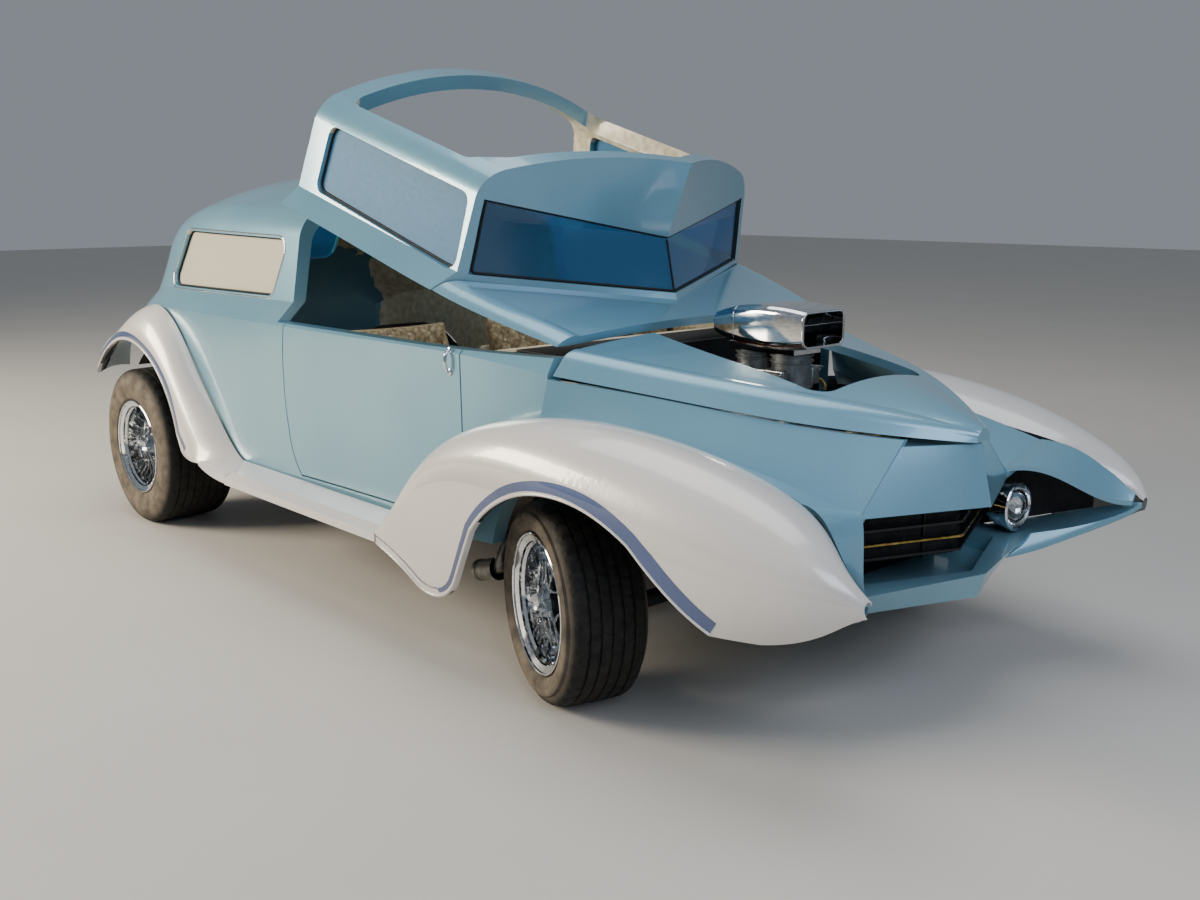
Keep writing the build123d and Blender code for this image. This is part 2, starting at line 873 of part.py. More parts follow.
save(engine_block(), "engine_block")
save(valve_covers(), "valve_covers")
save(intake(), "intake")
save(air_scoop(), "air_scoop")


def radiator():
    with BuildPart() as core:
        with Locations((rear_axle_x + 3370, 0, 577)):
            Box(60, 520, 380)
    return core.part


save(radiator(), "radiator")


def front_axle():
    with BuildPart() as axle:
        with Locations(Plane(origin=(rear_axle_x + front_axle_x, 0, 250), x_dir=(1, 0, 0), z_dir=(0, 1, 0))):
            Cylinder(26, 2 * (king_pin_y - 40))
        with Locations((rear_axle_x + front_axle_x, 0, 286)):
            Box(60, 2 * rail_in_y + 80, 22)
    return axle.part


def knuckle(side, name):
    pin_axis = Axis((rear_axle_x + front_axle_x, side * king_pin_y, 0), (0, 0, 1))
    with BuildPart() as stub:
        with Locations((rear_axle_x + front_axle_x, side * (king_pin_y - 8), front_tyre_radius - 20)):
            Cylinder(30, 120)
        with Locations(Plane(origin=(rear_axle_x + front_axle_x, side * (king_pin_y + 45), front_tyre_radius),
                             x_dir=(1, 0, 0), z_dir=(0, 1, 0))):
            Cylinder(17, 100)
    save(stub.part, name, (pin_axis, steer_at_rest))


save(front_axle(), "front_axle")
knuckle(-1, "knuckle_right")
knuckle(1, "knuckle_left")


def rear_axle():
    with BuildPart() as axle:
        with Locations(Plane(origin=(rear_axle_x, 0, rear_tyre_radius), x_dir=(1, 0, 0), z_dir=(0, 1, 0))):
            Cylinder(33, 2 * 560)
            Cylinder(stub_radius, 2 * rear_stub_y)
        with Locations((rear_axle_x, 0, rear_tyre_radius)):
            Sphere(130)
    return axle.part


save(rear_axle(), "rear_axle")


def wheel_axis(x, radius):
    return Axis((rear_axle_x + x, 0, radius), (0, 1, 0))


def wheel(side, x, tyre_radius, width, track_out, name, turn=None):
    """Rim, spokes and hub of one wheel. The dish is as deep as the wheel is wide."""
    face = track_out - 14
    back = track_out - width + 14
    hub_y = king_pin_y + 62 if x > 0 else 655
    with BuildPart() as disc:
        with BuildSketch(across(x)):
            with BuildLine():
                Polyline((side * face, tyre_radius + rim_lip_radius), (side * (face - 8), tyre_radius + rim_lip_radius),
                         (side * (face - 14), tyre_radius + rim_seat_radius), (side * (back + 14), tyre_radius + rim_seat_radius),
                         (side * (back + 8), tyre_radius + rim_lip_radius), (side * back, tyre_radius + rim_lip_radius),
                         (side * (back + 10), tyre_radius + rim_seat_radius - rim_wall),
                         (side * (face - 10), tyre_radius + rim_seat_radius - rim_wall), close=True)
            make_face()
        revolve(axis=wheel_axis(x, tyre_radius))
        with BuildSketch(across(x)):
            with BuildLine():
                Polyline((side * hub_y, tyre_radius + 24), (side * (hub_y + 50), tyre_radius + 24),
                         (side * (hub_y + 50), tyre_radius + hub_radius * 0.7),
                         (side * (hub_y + 14), tyre_radius + hub_radius), (side * hub_y, tyre_radius + hub_radius),
                         close=True)
            make_face()
        revolve(axis=wheel_axis(x, tyre_radius))
        plane = Plane(origin=(rear_axle_x + x, side * hub_y, tyre_radius), x_dir=(1, 0, 0), z_dir=(0, side, 0))
        with BuildSketch(plane):
            with PolarLocations((hub_radius + rim_seat_radius) / 2 - 2, spoke_count):
                Rectangle(rim_seat_radius - hub_radius, spoke_width)
        extrude(amount=12)
    save(disc.part, name, turn)


def tyre(side, x, tyre_radius, width, track_out, name, turn=None):
    """Tyre as one solid ring with rounded shoulders."""
    out = track_out
    inn = track_out - width
    seat = tyre_radius + rim_seat_radius + seat_gap
    top = 2 * tyre_radius
    with BuildPart() as ring:
        with BuildSketch(across(x)):
            with BuildLine():
                Polyline((side * (out - 30), seat), (side * (out - 22.5), seat + 20), (side * (out - 9), seat + 28))
                ThreePointArc((side * (out - 9), seat + 28), (side * out, (seat + top) / 2 + 6),
                              (side * (out - 12), top - 34))
                ThreePointArc((side * (out - 12), top - 34), (side * (out - 20), top - 14), (side * (out - 40), top - 3))
                ThreePointArc((side * (out - 40), top - 3), (side * (out + inn) / 2, top),
                              (side * (inn + 40), top - 3))
                ThreePointArc((side * (inn + 40), top - 3), (side * (inn + 20), top - 14), (side * (inn + 12), top - 34))
                ThreePointArc((side * (inn + 12), top - 34), (side * inn, (seat + top) / 2 + 6),
                              (side * (inn + 9), seat + 28))
                Polyline((side * (inn + 9), seat + 28), (side * (inn + 22.5), seat + 20), (side * (inn + 30), seat),
                         (side * (out - 30), seat))
            make_face()
        revolve(axis=wheel_axis(x, tyre_radius))
    save(ring.part, name, turn)


for side, word in ((-1, "right"), (1, "left")):
    pin = Axis((rear_axle_x + front_axle_x, side * king_pin_y, 0), (0, 0, 1))
    wheel(side, front_axle_x, front_tyre_radius, front_tyre_width, front_track_out,
          f"front_wheel_{word}", (pin, steer_at_rest))
    tyre(side, front_axle_x, front_tyre_radius, front_tyre_width, front_track_out,
         f"front_tyre_{word}", (pin, steer_at_rest))
    wheel(side, 0, rear_tyre_radius, rear_tyre_width, rear_track_out, f"rear_wheel_{word}")
    tyre(side, 0, rear_tyre_radius, rear_tyre_width, rear_track_out, f"rear_tyre_{word}")


def seats():
    with BuildPart() as pair:
        for y in (-345, 345):
            with BuildSketch(upright(y - 255)):
                with BuildLine():
                    Polyline((1400, 430), (1930, 450), (1950, 560), (1920, 600), (1500, 560), (1380, 960),
                             (1290, 990), (1250, 940), (1340, 500), close=True)
                make_face()
            extrude(amount=-510)
    return pair.part


def dashboard():
    with BuildPart() as dash:
        with BuildSketch(upright(-630)):
            with BuildLine():
                Polyline((2150, 800), (2130, 900), (2170, 960), (2320, 972), (2330, 940), (2230, 820), close=True)
            make_face()
        extrude(amount=-1260)
    return dash.part


def steering_wheel():
    tilt = Plane(origin=(rear_axle_x + 1985, 345, 850), x_dir=(0, 1, 0), z_dir=(-0.85, 0, 0.53))
    with BuildPart() as helm:
        with BuildSketch(Plane(origin=tilt.origin, x_dir=tilt.x_dir, z_dir=tilt.y_dir)):
            with Locations((165, 0)):
                Circle(13)
        revolve(axis=Axis(tilt.origin, tilt.z_dir))
        with BuildSketch(tilt):
            Circle(32)
            with PolarLocations(98, 3, start_angle=90):
                Rectangle(150, 16)
        extrude(amount=6, both=True)
        with BuildSketch(tilt):
            Circle(16)
        extrude(amount=-600)
    return helm.part


save(seats(), "seats")
save(dashboard(), "dashboard")
save(steering_wheel(), "steering_wheel")


def tail_lamps():
    with BuildPart() as lamps:
        for y in (-500, 500):
            with Locations(Plane(origin=(rear_axle_x - 341, y, 720), x_dir=(0, 1, 0), z_dir=(-1, 0, 0))):
                Cylinder(45, 27)
    return lamps.part


def exhaust():
    with BuildPart() as pipes:
        for side in (-1, 1):
            with Locations(Plane(origin=(rear_axle_x + 1500, side * 290, 270), x_dir=(0, 1, 0), z_dir=(1, 0, 0))):
                Cylinder(30, 2000)
    return pipes.part


save(tail_lamps(), "tail_lamps")
save(exhaust(), "exhaust_pipes")
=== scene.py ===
# Hot rod with a flip-up canopy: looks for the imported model, in metres.
# X points forward, Y to the car's left and Z up, with the origin on the ground under the car's middle.
import math

import bmesh
import bpy
from mathutils import Matrix, Vector
from mathutils.bvhtree import BVHTree


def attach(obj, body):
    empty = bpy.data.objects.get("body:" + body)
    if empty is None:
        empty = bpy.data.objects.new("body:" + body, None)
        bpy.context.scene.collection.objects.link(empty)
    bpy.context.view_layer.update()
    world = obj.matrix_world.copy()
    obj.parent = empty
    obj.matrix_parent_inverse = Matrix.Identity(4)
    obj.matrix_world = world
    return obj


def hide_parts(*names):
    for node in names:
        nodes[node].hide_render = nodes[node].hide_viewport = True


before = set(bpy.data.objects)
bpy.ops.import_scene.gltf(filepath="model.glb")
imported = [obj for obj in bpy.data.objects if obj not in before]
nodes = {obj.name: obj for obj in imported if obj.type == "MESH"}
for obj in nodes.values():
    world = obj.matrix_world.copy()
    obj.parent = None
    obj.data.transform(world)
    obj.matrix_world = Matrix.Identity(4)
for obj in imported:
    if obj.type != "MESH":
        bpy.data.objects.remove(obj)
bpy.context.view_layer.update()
scene = bpy.context.scene

# Sizes that the construction uses too, in millimetres. Stations are measured from the rear axle.
rear_axle_x = -1710.0
front_axle_x = 2845.0
king_pin_y = 610.0
steer_at_rest = math.radians(-19.8)
canopy_axis = (2757.0, 995.0)
canopy_raise = math.radians(16.0)


def at(station, out, up):
    """Point from a station ahead of the rear axle, a distance from the centre line and a height."""
    return Vector(((rear_axle_x + station) / 1000, out / 1000, up / 1000))


canopy_pin = at(canopy_axis[0], 0, canopy_axis[1])
canopy_turn = (Matrix.Translation(canopy_pin) @ Matrix.Rotation(canopy_raise, 4, "Y")
               @ Matrix.Translation(-canopy_pin))


# Colours and nodes
def linear(hex_colour):
    """Linear colour of an sRGB hex value."""
    values = []
    for i in (0, 2, 4):
        c = int(hex_colour[i:i + 2], 16) / 255
        values.append(c / 12.92 if c <= 0.04045 else ((c + 0.055) / 1.055) ** 2.4)
    return (*values, 1.0)


def feed(tree, node, **inputs):
    """Sets a node's inputs to values, or links them to other nodes. _3 means the input numbered 3."""
    for key, value in inputs.items():
        name = key.replace("_", " ")
        socket = node.inputs[int(name[1:])] if name[1:].isdigit() else node.inputs[name]
        if isinstance(value, bpy.types.Node):
            value = next(out for out in value.outputs if out.enabled)
        if isinstance(value, bpy.types.NodeSocket):
            tree.links.new(value, socket)
        else:
            socket.default_value = value


def add_node(tree, kind, settings=None, **inputs):
    """Adds a node with its settings and its inputs, which are values or other nodes."""
    node = tree.nodes.new("ShaderNode" + kind)
    for key, value in (settings or {}).items():
        setattr(node, key, value)
    feed(tree, node, **inputs)
    return node


def shader(name, **values):
    """New material; returns it with its tree and its main shader."""
    material = bpy.data.materials.new(name)
    material.use_nodes = True
    main = material.node_tree.nodes["Principled BSDF"]
    feed(material.node_tree, main, **values)
    return material, material.node_tree, main


def grain(tree, size_mm, stretch=(1, 1, 1)):
    """Object coordinates in which one unit is a grain of that many millimetres."""
    return add_node(tree, "Mapping", None, Vector=add_node(tree, "TexCoord").outputs["Object"],
                    Scale=[1000 / size_mm * s for s in stretch])


rgba = {"data_type": "RGBA"}
times = {"operation": "MULTIPLY"}
times_plus = {"operation": "MULTIPLY_ADD"}


def patchy_colour(tree, size_mm, detail, low, high, dark, light):
    """Two colours in patches of a size, which pass into each other between two levels of a noise."""
    patches = add_node(tree, "TexNoise", None, Vector=grain(tree, size_mm), Scale=1.0, Detail=detail)
    share = add_node(tree, "MapRange", None, Value=patches, From_Min=low, From_Max=high)
    return add_node(tree, "Mix", rgba, _0=share, _6=linear(dark), _7=linear(light))


def patchy_value(tree, size_mm, detail, low, high, start, end, stretch=(1, 1, 1)):
    """A value that passes from start to end between two levels of a noise, in patches of a size."""
    patches = add_node(tree, "TexNoise", None, Vector=grain(tree, size_mm, stretch), Scale=1.0,
                       Detail=detail)
    return add_node(tree, "MapRange", None, Value=patches, From_Min=low, From_Max=high, To_Min=start,
                    To_Max=end)


def grained(tree, size_mm, detail, depth_mm, strength):
    """Relief of a grain's size and depth."""
    height = add_node(tree, "TexNoise", None, Vector=grain(tree, size_mm), Scale=1.0, Detail=detail)
    return add_node(tree, "Bump", None, Height=height, Distance=depth_mm / 1000, Strength=strength)


def lacquer(name, deep, light, metal, rough):
    """Sprayed lacquer under clear coat: fine flake, a trace of orange peel and dust low down."""
    material, tree, main = shader(name, Metallic=metal, Roughness=rough, Coat_Weight=0.8,
                                  Coat_Roughness=0.07, Coat_IOR=1.5)
    # the flake is 2.5 mm and the peel 60 mm, both coarser than the real 0.2 mm and 3 mm, so that they show
    flake = add_node(tree, "TexVoronoi", None, Vector=grain(tree, 2.5), Scale=1.0)
    cloud = add_node(tree, "TexNoise", None, Vector=grain(tree, 420), Scale=1.0, Detail=3.0)
    speck = add_node(tree, "Math", times_plus, _0=flake.outputs["Color"], _1=0.16, _2=0.4)
    both = add_node(tree, "Math", times_plus, _0=cloud, _1=0.5, _2=speck)
    share = add_node(tree, "MapRange", None, Value=both, From_Min=0.35, From_Max=1.05)
    paint = add_node(tree, "Mix", rgba, _0=share, _6=linear(deep), _7=linear(light))
    spot = add_node(tree, "SeparateXYZ", None, Vector=add_node(tree, "TexCoord").outputs["Object"])
    low = add_node(tree, "MapRange", None, Value=spot.outputs["Z"], From_Min=0.60, From_Max=0.22,
                   To_Max=0.22)
    patches = add_node(tree, "TexNoise", None, Vector=grain(tree, 60), Scale=1.0, Detail=3.0)
    grime = add_node(tree, "Math", times, _0=low, _1=patches)
    dusty = add_node(tree, "Mix", rgba, _0=grime, _6=paint, _7=linear("8c8470"))
    feed(tree, main, Base_Color=dusty, Normal=grained(tree, 60, 0.0, 0.12, 0.2))
    return material, tree, main


def plated(name, dull, bright, rough, smear=0.05):
    """Polished metal plate with faint wiping smears."""
    material, tree, main = shader(name, Metallic=1.0)
    streak = add_node(tree, "TexNoise", None, Vector=grain(tree, 22, (1, 1, 3)), Scale=1.0, Detail=4.0)
    share = add_node(tree, "MapRange", None, Value=streak, From_Min=0.3, From_Max=0.7)
    feed(tree, main, Base_Color=add_node(tree, "Mix", rgba, _0=share, _6=linear(dull), _7=linear(bright)),
         Roughness=add_node(tree, "MapRange", None, Value=streak, From_Min=0.3, From_Max=0.75,
                            To_Min=rough, To_Max=rough + smear))
    return material


def cast(name, dark, light, metal, rough, grain_mm=1.6, depth_mm=0.25):
    """Cast or sprayed metal with a sandy skin."""
    material, tree, main = shader(name, Metallic=metal)
    feed(tree, main, Base_Color=patchy_colour(tree, 45, 3.0, 0.35, 0.68, dark, light),
         Roughness=patchy_value(tree, 9, 3.0, 0.3, 0.7, rough - 0.08, rough + 0.1),
         Normal=grained(tree, grain_mm, 2.0, depth_mm, 0.6))
    return material


def acrylic(name, colour, clear, rough, dull=0.06, sheen=0.5):
    """Tinted cast acrylic sheet: gloss with a trace of waviness and fine scratches."""
    material, tree, main = shader(name, IOR=1.49, Base_Color=linear(colour), Transmission_Weight=clear,
                                  Specular_IOR_Level=sheen)
    feed(tree, main, Roughness=patchy_value(tree, 14, 5.0, 0.35, 0.8, rough, rough + dull, (1, 6, 1)),
         Normal=grained(tree, 260, 1.0, 0.6, 0.15))
    return material


def rubber(name, dark, light, rough):
    """Rubber with a dull bloom."""
    material, tree, main = shader(name, Specular_IOR_Level=0.35)
    feed(tree, main, Base_Color=patchy_colour(tree, 30, 4.0, 0.35, 0.7, dark, light),
         Roughness=patchy_value(tree, 12, 3.0, 0.3, 0.7, rough - 0.06, rough + 0.08),
         Normal=grained(tree, 1.4, 2.0, 0.08, 0.5))
    return material, tree, main


def tyre_rubber(name, radius):
    """Tyre rubber: black tread, with a sidewall worn pale brown by road dust."""
    material, tree, main = rubber(name, "121211", "242321", 0.74)
    black = main.inputs["Base Color"].links[0].from_socket
    spot = add_node(tree, "SeparateXYZ", None, Vector=add_node(tree, "TexCoord").outputs["Object"])
    flat = add_node(tree, "CombineXYZ", None, X=spot.outputs["X"], Z=spot.outputs["Z"])
    reach = add_node(tree, "VectorMath", {"operation": "LENGTH"}, _0=flat).outputs["Value"]
    wall = add_node(tree, "MapRange", None, Value=reach, From_Min=radius - 0.012, From_Max=radius - 0.045)
    scuffs = patchy_value(tree, 55, 5.0, 0.30, 0.66, 0.25, 0.85)
    worn = add_node(tree, "Math", times, _0=wall, _1=scuffs)
    feed(tree, main, Base_Color=add_node(tree, "Mix", rgba, _0=worn, _6=black, _7=linear("7a6f60")))
    return material


def plush(name, dark, light, rough=0.85):
    """Crushed velvet: deep pile that lies in patches and shines at its edges."""
    material, tree, main = shader(name, Sheen_Weight=0.8, Sheen_Roughness=0.4, Sheen_Tint=linear(light),
                                  Roughness=rough)
    feed(tree, main, Base_Color=patchy_colour(tree, 16, 6.0, 0.32, 0.68, dark, light),
         Normal=grained(tree, 2.5, 3.0, 0.6, 0.7))
    return material


def hide(name, dark, light):
    """Grained vinyl leather."""
    material, tree, main = shader(name, Coat_Weight=0.15, Coat_Roughness=0.35)
    folds = add_node(tree, "TexVoronoi", {"feature": "DISTANCE_TO_EDGE"}, Vector=grain(tree, 2.2),
                     Scale=1.0)
    depth = folds.outputs["Distance"]
    feed(tree, main, Base_Color=patchy_colour(tree, 70, 3.0, 0.3, 0.7, dark, light),
         Roughness=add_node(tree, "MapRange", None, Value=depth, From_Max=0.25, To_Min=0.62, To_Max=0.42),
         Normal=add_node(tree, "Bump", None, Height=depth, Distance=0.0002, Strength=0.5))
    return material


def inner_side(tree, middle, level, cover, high):
    """1 on faces that look at the car's middle line, or down from above a height, and 0 on the rest."""
    spot = add_node(tree, "SeparateXYZ", None, Vector=add_node(tree, "TexCoord").outputs["Object"])
    face = add_node(tree, "SeparateXYZ", None, Vector=add_node(tree, "NewGeometry").outputs["True Normal"])
    turned_in = add_node(tree, "Math", times, _0=spot.outputs["Y"], _1=face.outputs["Y"])
    less, more = {"operation": "LESS_THAN"}, {"operation": "GREATER_THAN"}
    inward = add_node(tree, "Math", times, _0=add_node(tree, "Math", less, _0=turned_in, _1=middle),
                      _1=add_node(tree, "Math", less, _0=face.outputs["Z"], _1=level))
    down = add_node(tree, "Math", times, _0=add_node(tree, "Math", less, _0=face.outputs["Z"], _1=cover),
                    _1=add_node(tree, "Math", more, _0=spot.outputs["Z"], _1=high))
    return add_node(tree, "Math", {"operation": "MAXIMUM"}, _0=inward, _1=down), spot


# Colours of the body and the fenders, deep and light
blue_colours = ("5c93ae", "83b4c6")
pearl_colours = ("cfcbc9", "e9e5de")
paint_metal = 0.30


def lined(name, front):
    """The body lacquer, with the faces that look into the cabin lined in cloth, and black ahead of it as
    painted shade under the cowl and the visor.
    """
    material, tree, main = lacquer(name, *blue_colours, paint_metal, 0.32)
    inside, spot = inner_side(tree, -0.25, 2.0, -0.55, 1.1)
    paint = main.inputs["Base Color"].links[0].from_socket
    cloth = patchy_colour(tree, 30, 5.0, 0.3, 0.7, "c3b892", "efe8cf")
    # inward faces ahead of the station are black: painted shade for the dark under the cowl and the visor
    ahead = add_node(tree, "Math", {"operation": "GREATER_THAN"}, _0=spot.outputs["X"],
                     _1=(rear_axle_x + front) / 1000)
    cover = add_node(tree, "Mix", rgba, _0=ahead, _6=cloth, _7=linear("101214"))
    feed(tree, main, Base_Color=add_node(tree, "Mix", rgba, _0=inside, _6=paint, _7=cover),
         Metallic=add_node(tree, "Math", times_plus, _0=inside, _1=-paint_metal, _2=paint_metal),
         Roughness=add_node(tree, "Math", times_plus, _0=inside, _1=0.5, _2=0.30))
    return material


def undersealed(name):
    """The pearl lacquer, with the faces that look at the wheel or the road under black sealer."""
    material, tree, main = lacquer(name, *pearl_colours, 0.10, 0.30)
    inside, _ = inner_side(tree, -0.30, 0.05, -0.72, -1.0)
    paint = main.inputs["Base Color"].links[0].from_socket
    feed(tree, main, Base_Color=add_node(tree, "Mix", rgba, _0=inside, _6=paint, _7=linear("17191b")),
         Roughness=add_node(tree, "Math", times_plus, _0=inside, _1=0.5, _2=0.30))
    return material


# Finishes
body_blue = lacquer("body_lacquer_blue", *blue_colours, paint_metal, 0.32)[0]
pearl_white, _, pearl_main = lacquer("fender_lacquer_pearl", *pearl_colours, 0.10, 0.30)
pearl_main.inputs["Sheen Weight"].default_value = 0.25
pearl_main.inputs["Sheen Tint"].default_value = linear("b9b4e0")
slate_stripe = lacquer("stripe_lacquer_slate", "33466e", "56699a", 0.35, 0.32)[0]
groove_line = lacquer("groove_lacquer_lavender", "5a5d78", "7f8098", 0.1, 0.45)[0]
chrome = plated("chrome_plate", "c9ced4", "f1f3f5", 0.05)
polished = plated("polished_aluminium", "b9bdc0", "d6d9da", 0.16, 0.12)
brass = plated("brass_polished", "9c7b3a", "d3b268", 0.18, 0.1)
iron = cast("cast_iron_black", "101214", "24272b", 0.6, 0.5)
alloy = cast("cast_aluminium", "6e7376", "94999b", 0.9, 0.42)
underseal = cast("underseal_black", "0c0d0e", "1b1c1d", 0.0, 0.72, 3.0, 0.5)
pipe_steel = cast("pipe_steel_aluminised", "5c5a55", "8b8882", 0.9, 0.38, 4.0, 0.1)
blue_acrylic = acrylic("acrylic_blue", "3f8abf", 0.84, 0.06)
satin_acrylic = acrylic("acrylic_blue_satin", "4f93c0", 0.42, 0.50, 0.08, 0.12)
pale_acrylic = acrylic("acrylic_opal", "f1ecd6", 0.35, 0.22)
lamp_glass = acrylic("lamp_glass_clear", "f2f6f6", 1.0, 0.02)
red_glass = acrylic("tail_lens_red", "8f0d12", 0.35, 0.06)
seal_rubber = rubber("seal_rubber", "0b0b0c", "1d1d1e", 0.6)[0]
tan_velvet = plush("velvet_tan", "7b6648", "cdbb95")
cream_vinyl = hide("vinyl_cream", "cfc5a4", "ece4c8")
brown_carpet = plush("carpet_brown", "2c231a", "55473a", 0.95)


# Making pieces
forward, leftward, upward = Vector((1, 0, 0)), Vector((0, 1, 0)), Vector((0, 0, 1))


def rotation(degrees, axis):
    """Turn by an angle round X, Y, Z or any direction."""
    return Matrix.Rotation(math.radians(degrees), 3, axis)


def new_piece(name, points, faces, finish, body, crease=35, place=None):
    """Mesh piece from points and faces, riding on a body. Place moves it from its own axes."""
    mesh = bpy.data.meshes.new(name)
    mesh.from_pydata([tuple(p) for p in points], [], faces)
    build = bmesh.new()
    build.from_mesh(mesh)
    bmesh.ops.remove_doubles(build, verts=build.verts, dist=2e-5)
    bmesh.ops.recalc_face_normals(build, faces=build.faces)
    build.to_mesh(mesh)
    build.free()
    mesh.shade_smooth()
    mesh.set_sharp_from_angle(angle=math.radians(crease))
    mesh.materials.append(finish)
    piece = bpy.data.objects.new(name, mesh)
    scene.collection.objects.link(piece)
    if place is not None:
        piece.matrix_world = place
    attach(piece, body)
    return piece


def wires(name, runs, radius, finish, body, closed=False, smooth=True, place=None):
    """Round bars or wires along runs of points, in one piece."""
    curve = bpy.data.curves.new(name, "CURVE")
    curve.dimensions = "3D"
    curve.bevel_depth = radius / 1000
    curve.bevel_resolution = 3
    curve.use_fill_caps = True
    for run in runs:
        spline = curve.splines.new("NURBS" if smooth else "POLY")
        spline.points.add(len(run) - 1)
        for point, place_at in zip(spline.points, run):
            point.co = (*place_at, 1)
        spline.use_cyclic_u = closed
        if smooth:
            spline.order_u = 3
            spline.use_endpoint_u = not closed
            spline.resolution_u = 6
    curve.materials.append(finish)
    piece = bpy.data.objects.new(name, curve)
    scene.collection.objects.link(piece)
    if place is not None:
        piece.matrix_world = place
    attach(piece, body)
    return piece


def turned(profile, middle, axis, steps=48, closed=False):
    """Points and faces of a shape turned on an axis. Profile: (radius, distance along), in mm."""
    axis = axis.normalized()
    side = axis.orthogonal().normalized()
    up = axis.cross(side)
    points = []
    for i in range(steps):
        turn = 2 * math.pi * i / steps
        out = side * math.cos(turn) + up * math.sin(turn)
        points += [middle + out * (r / 1000) + axis * (a / 1000) for r, a in profile]
    count = len(profile)
    faces = []
    for i in range(steps):
        j = (i + 1) % steps
        for k in range(count if closed else count - 1):
            m = (k + 1) % count
            faces.append((i * count + k, j * count + k, j * count + m, i * count + m))
    return points, faces


def joined(*shapes):
    """Several sets of points and faces as one."""
    points, faces = [], []
    for some_points, some_faces in shapes:
        start = len(points)
        points += list(some_points)
        faces += [tuple(i + start for i in face) for face in some_faces]
    return points, faces


def slab(middle, size, round_mm, turn=None):
    """Block with rounded edges: its middle, its size in mm and the edges' radius."""
    build = bmesh.new()
    bmesh.ops.create_cube(build, size=1.0)
    bmesh.ops.scale(build, vec=Vector(size) / 1000, verts=build.verts)
    bmesh.ops.bevel(build, geom=build.edges[:], offset=round_mm / 1000, segments=3, profile=0.5,
                    affect="EDGES")
    if turn is not None:
        bmesh.ops.rotate(build, cent=(0, 0, 0), matrix=turn, verts=build.verts)
    bmesh.ops.translate(build, vec=middle, verts=build.verts)
    points = [v.co.copy() for v in build.verts]
    faces = [tuple(v.index for v in f.verts) for f in build.faces]
    build.free()
    return points, faces


def arc(a, middle, b, steps=14):
    """Points of a circle's arc through three points in the side view."""
    ax, az = a
    bx, bz = middle
    cx, cz = b
    d = 2 * (ax * (bz - cz) + bx * (cz - az) + cx * (az - bz))
    ra, rb, rc = ax * ax + az * az, bx * bx + bz * bz, cx * cx + cz * cz
    ux = (ra * (bz - cz) + rb * (cz - az) + rc * (az - bz)) / d
    uz = (ra * (cx - bx) + rb * (ax - cx) + rc * (bx - ax)) / d
    r = math.hypot(ax - ux, az - uz)
    angles = [math.atan2(p[1] - uz, p[0] - ux) for p in (a, middle, b)]
    whole = (angles[2] - angles[0]) % (2 * math.pi)
    if (angles[1] - angles[0]) % (2 * math.pi) > whole:
        whole -= 2 * math.pi
    turns = [angles[0] + whole * i / steps for i in range(steps + 1)]
    return [(ux + r * math.cos(turn), uz + r * math.sin(turn)) for turn in turns]


def even(path, gap, closed=False):
    """The same path with points an even gap apart."""
    ring = list(path) + ([path[0]] if closed else [])
    spots = [ring[0]]
    left = gap
    for a, b in zip(ring, ring[1:]):
        length = math.hypot(b[0] - a[0], b[1] - a[1])
        went = 0.0
        while length - went >= left:
            went += left
            left = gap
            t = went / length
            spots.append((a[0] + (b[0] - a[0]) * t, a[1] + (b[1] - a[1]) * t))
        left -= length - went
    if not closed and math.hypot(spots[-1][0] - ring[-1][0], spots[-1][1] - ring[-1][1]) > gap * 0.3:
        spots.append(ring[-1])
    return spots


def shifted(path, offset, closed=False):
    """Path moved to its left by an offset, seen from the side with X to the right."""
    moved = []
    n = len(path)
    for i, (x, z) in enumerate(path):
        a = path[i - 1] if (closed or i) else path[i]
        b = path[(i + 1) % n] if (closed or i < n - 1) else path[i]
        dx, dz = b[0] - a[0], b[1] - a[1]
        length = math.hypot(dx, dz) or 1.0
        moved.append((x - dz / length * offset, z + dx / length * offset))
    return moved


def surface(name, back=Matrix()):
    """Search tree over a CAD node's surface, moved back from its resting turn."""
    mesh = nodes[name].data
    return BVHTree.FromPolygons([back @ v.co for v in mesh.vertices],
                                [tuple(p.vertices) for p in mesh.polygons])


def laid(tree, side, path, lift):
    """Points of a side-view path dropped on to a surface from outside and lifted off it in mm."""
    spots = []
    for x, z in path:
        hit, normal, _, _ = tree.ray_cast(at(x, side * 1300, z), leftward * -side, 1.3)
        if hit is None:
            spots.append(None)
            continue
        if normal.y * side < 0:
            normal = -normal
        spots.append(hit + normal * (lift / 1000))
    known = [p for p in spots if p is not None]
    for i, spot in enumerate(spots):
        if spot is None:
            x, z = path[i]
            near = min(known, key=lambda p: (p.x - at(x, 0, z).x) ** 2 + (p.z - z / 1000) ** 2)
            spots[i] = Vector((at(x, 0, z).x, near.y, z / 1000))
    return spots


def skin(rows, closed=False, caps=False):
    """Points and faces of a skin over rows of points. Closed rows are rings, and caps fill the end ones."""
    n = len(rows[0])
    points = [p for row in rows for p in row]
    faces = []
    for i in range(len(rows) - 1):
        for k in range(n if closed else n - 1):
            m = (k + 1) % n
            faces.append((i * n + k, (i + 1) * n + k, (i + 1) * n + m, i * n + m))
    if caps:
        faces += [tuple(range(n)), tuple(range(len(points) - 1, len(points) - n - 1, -1))]
    return points, faces


def band(name, tree, side, path, offsets, lift, finish, body):
    """Painted band that lies on a surface between offsets from a path."""
    strips = 4
    limits = [offsets(i / (len(path) - 1)) for i in range(len(path))]
    rows = []
    for step in range(strips + 1):
        flat = []
        for i, (low, high) in enumerate(limits):
            flat.append(shifted(path, low + (high - low) * step / strips)[i])
        rows.append(laid(tree, side, flat, lift))
    new_piece(name, *skin(rows), finish, body)


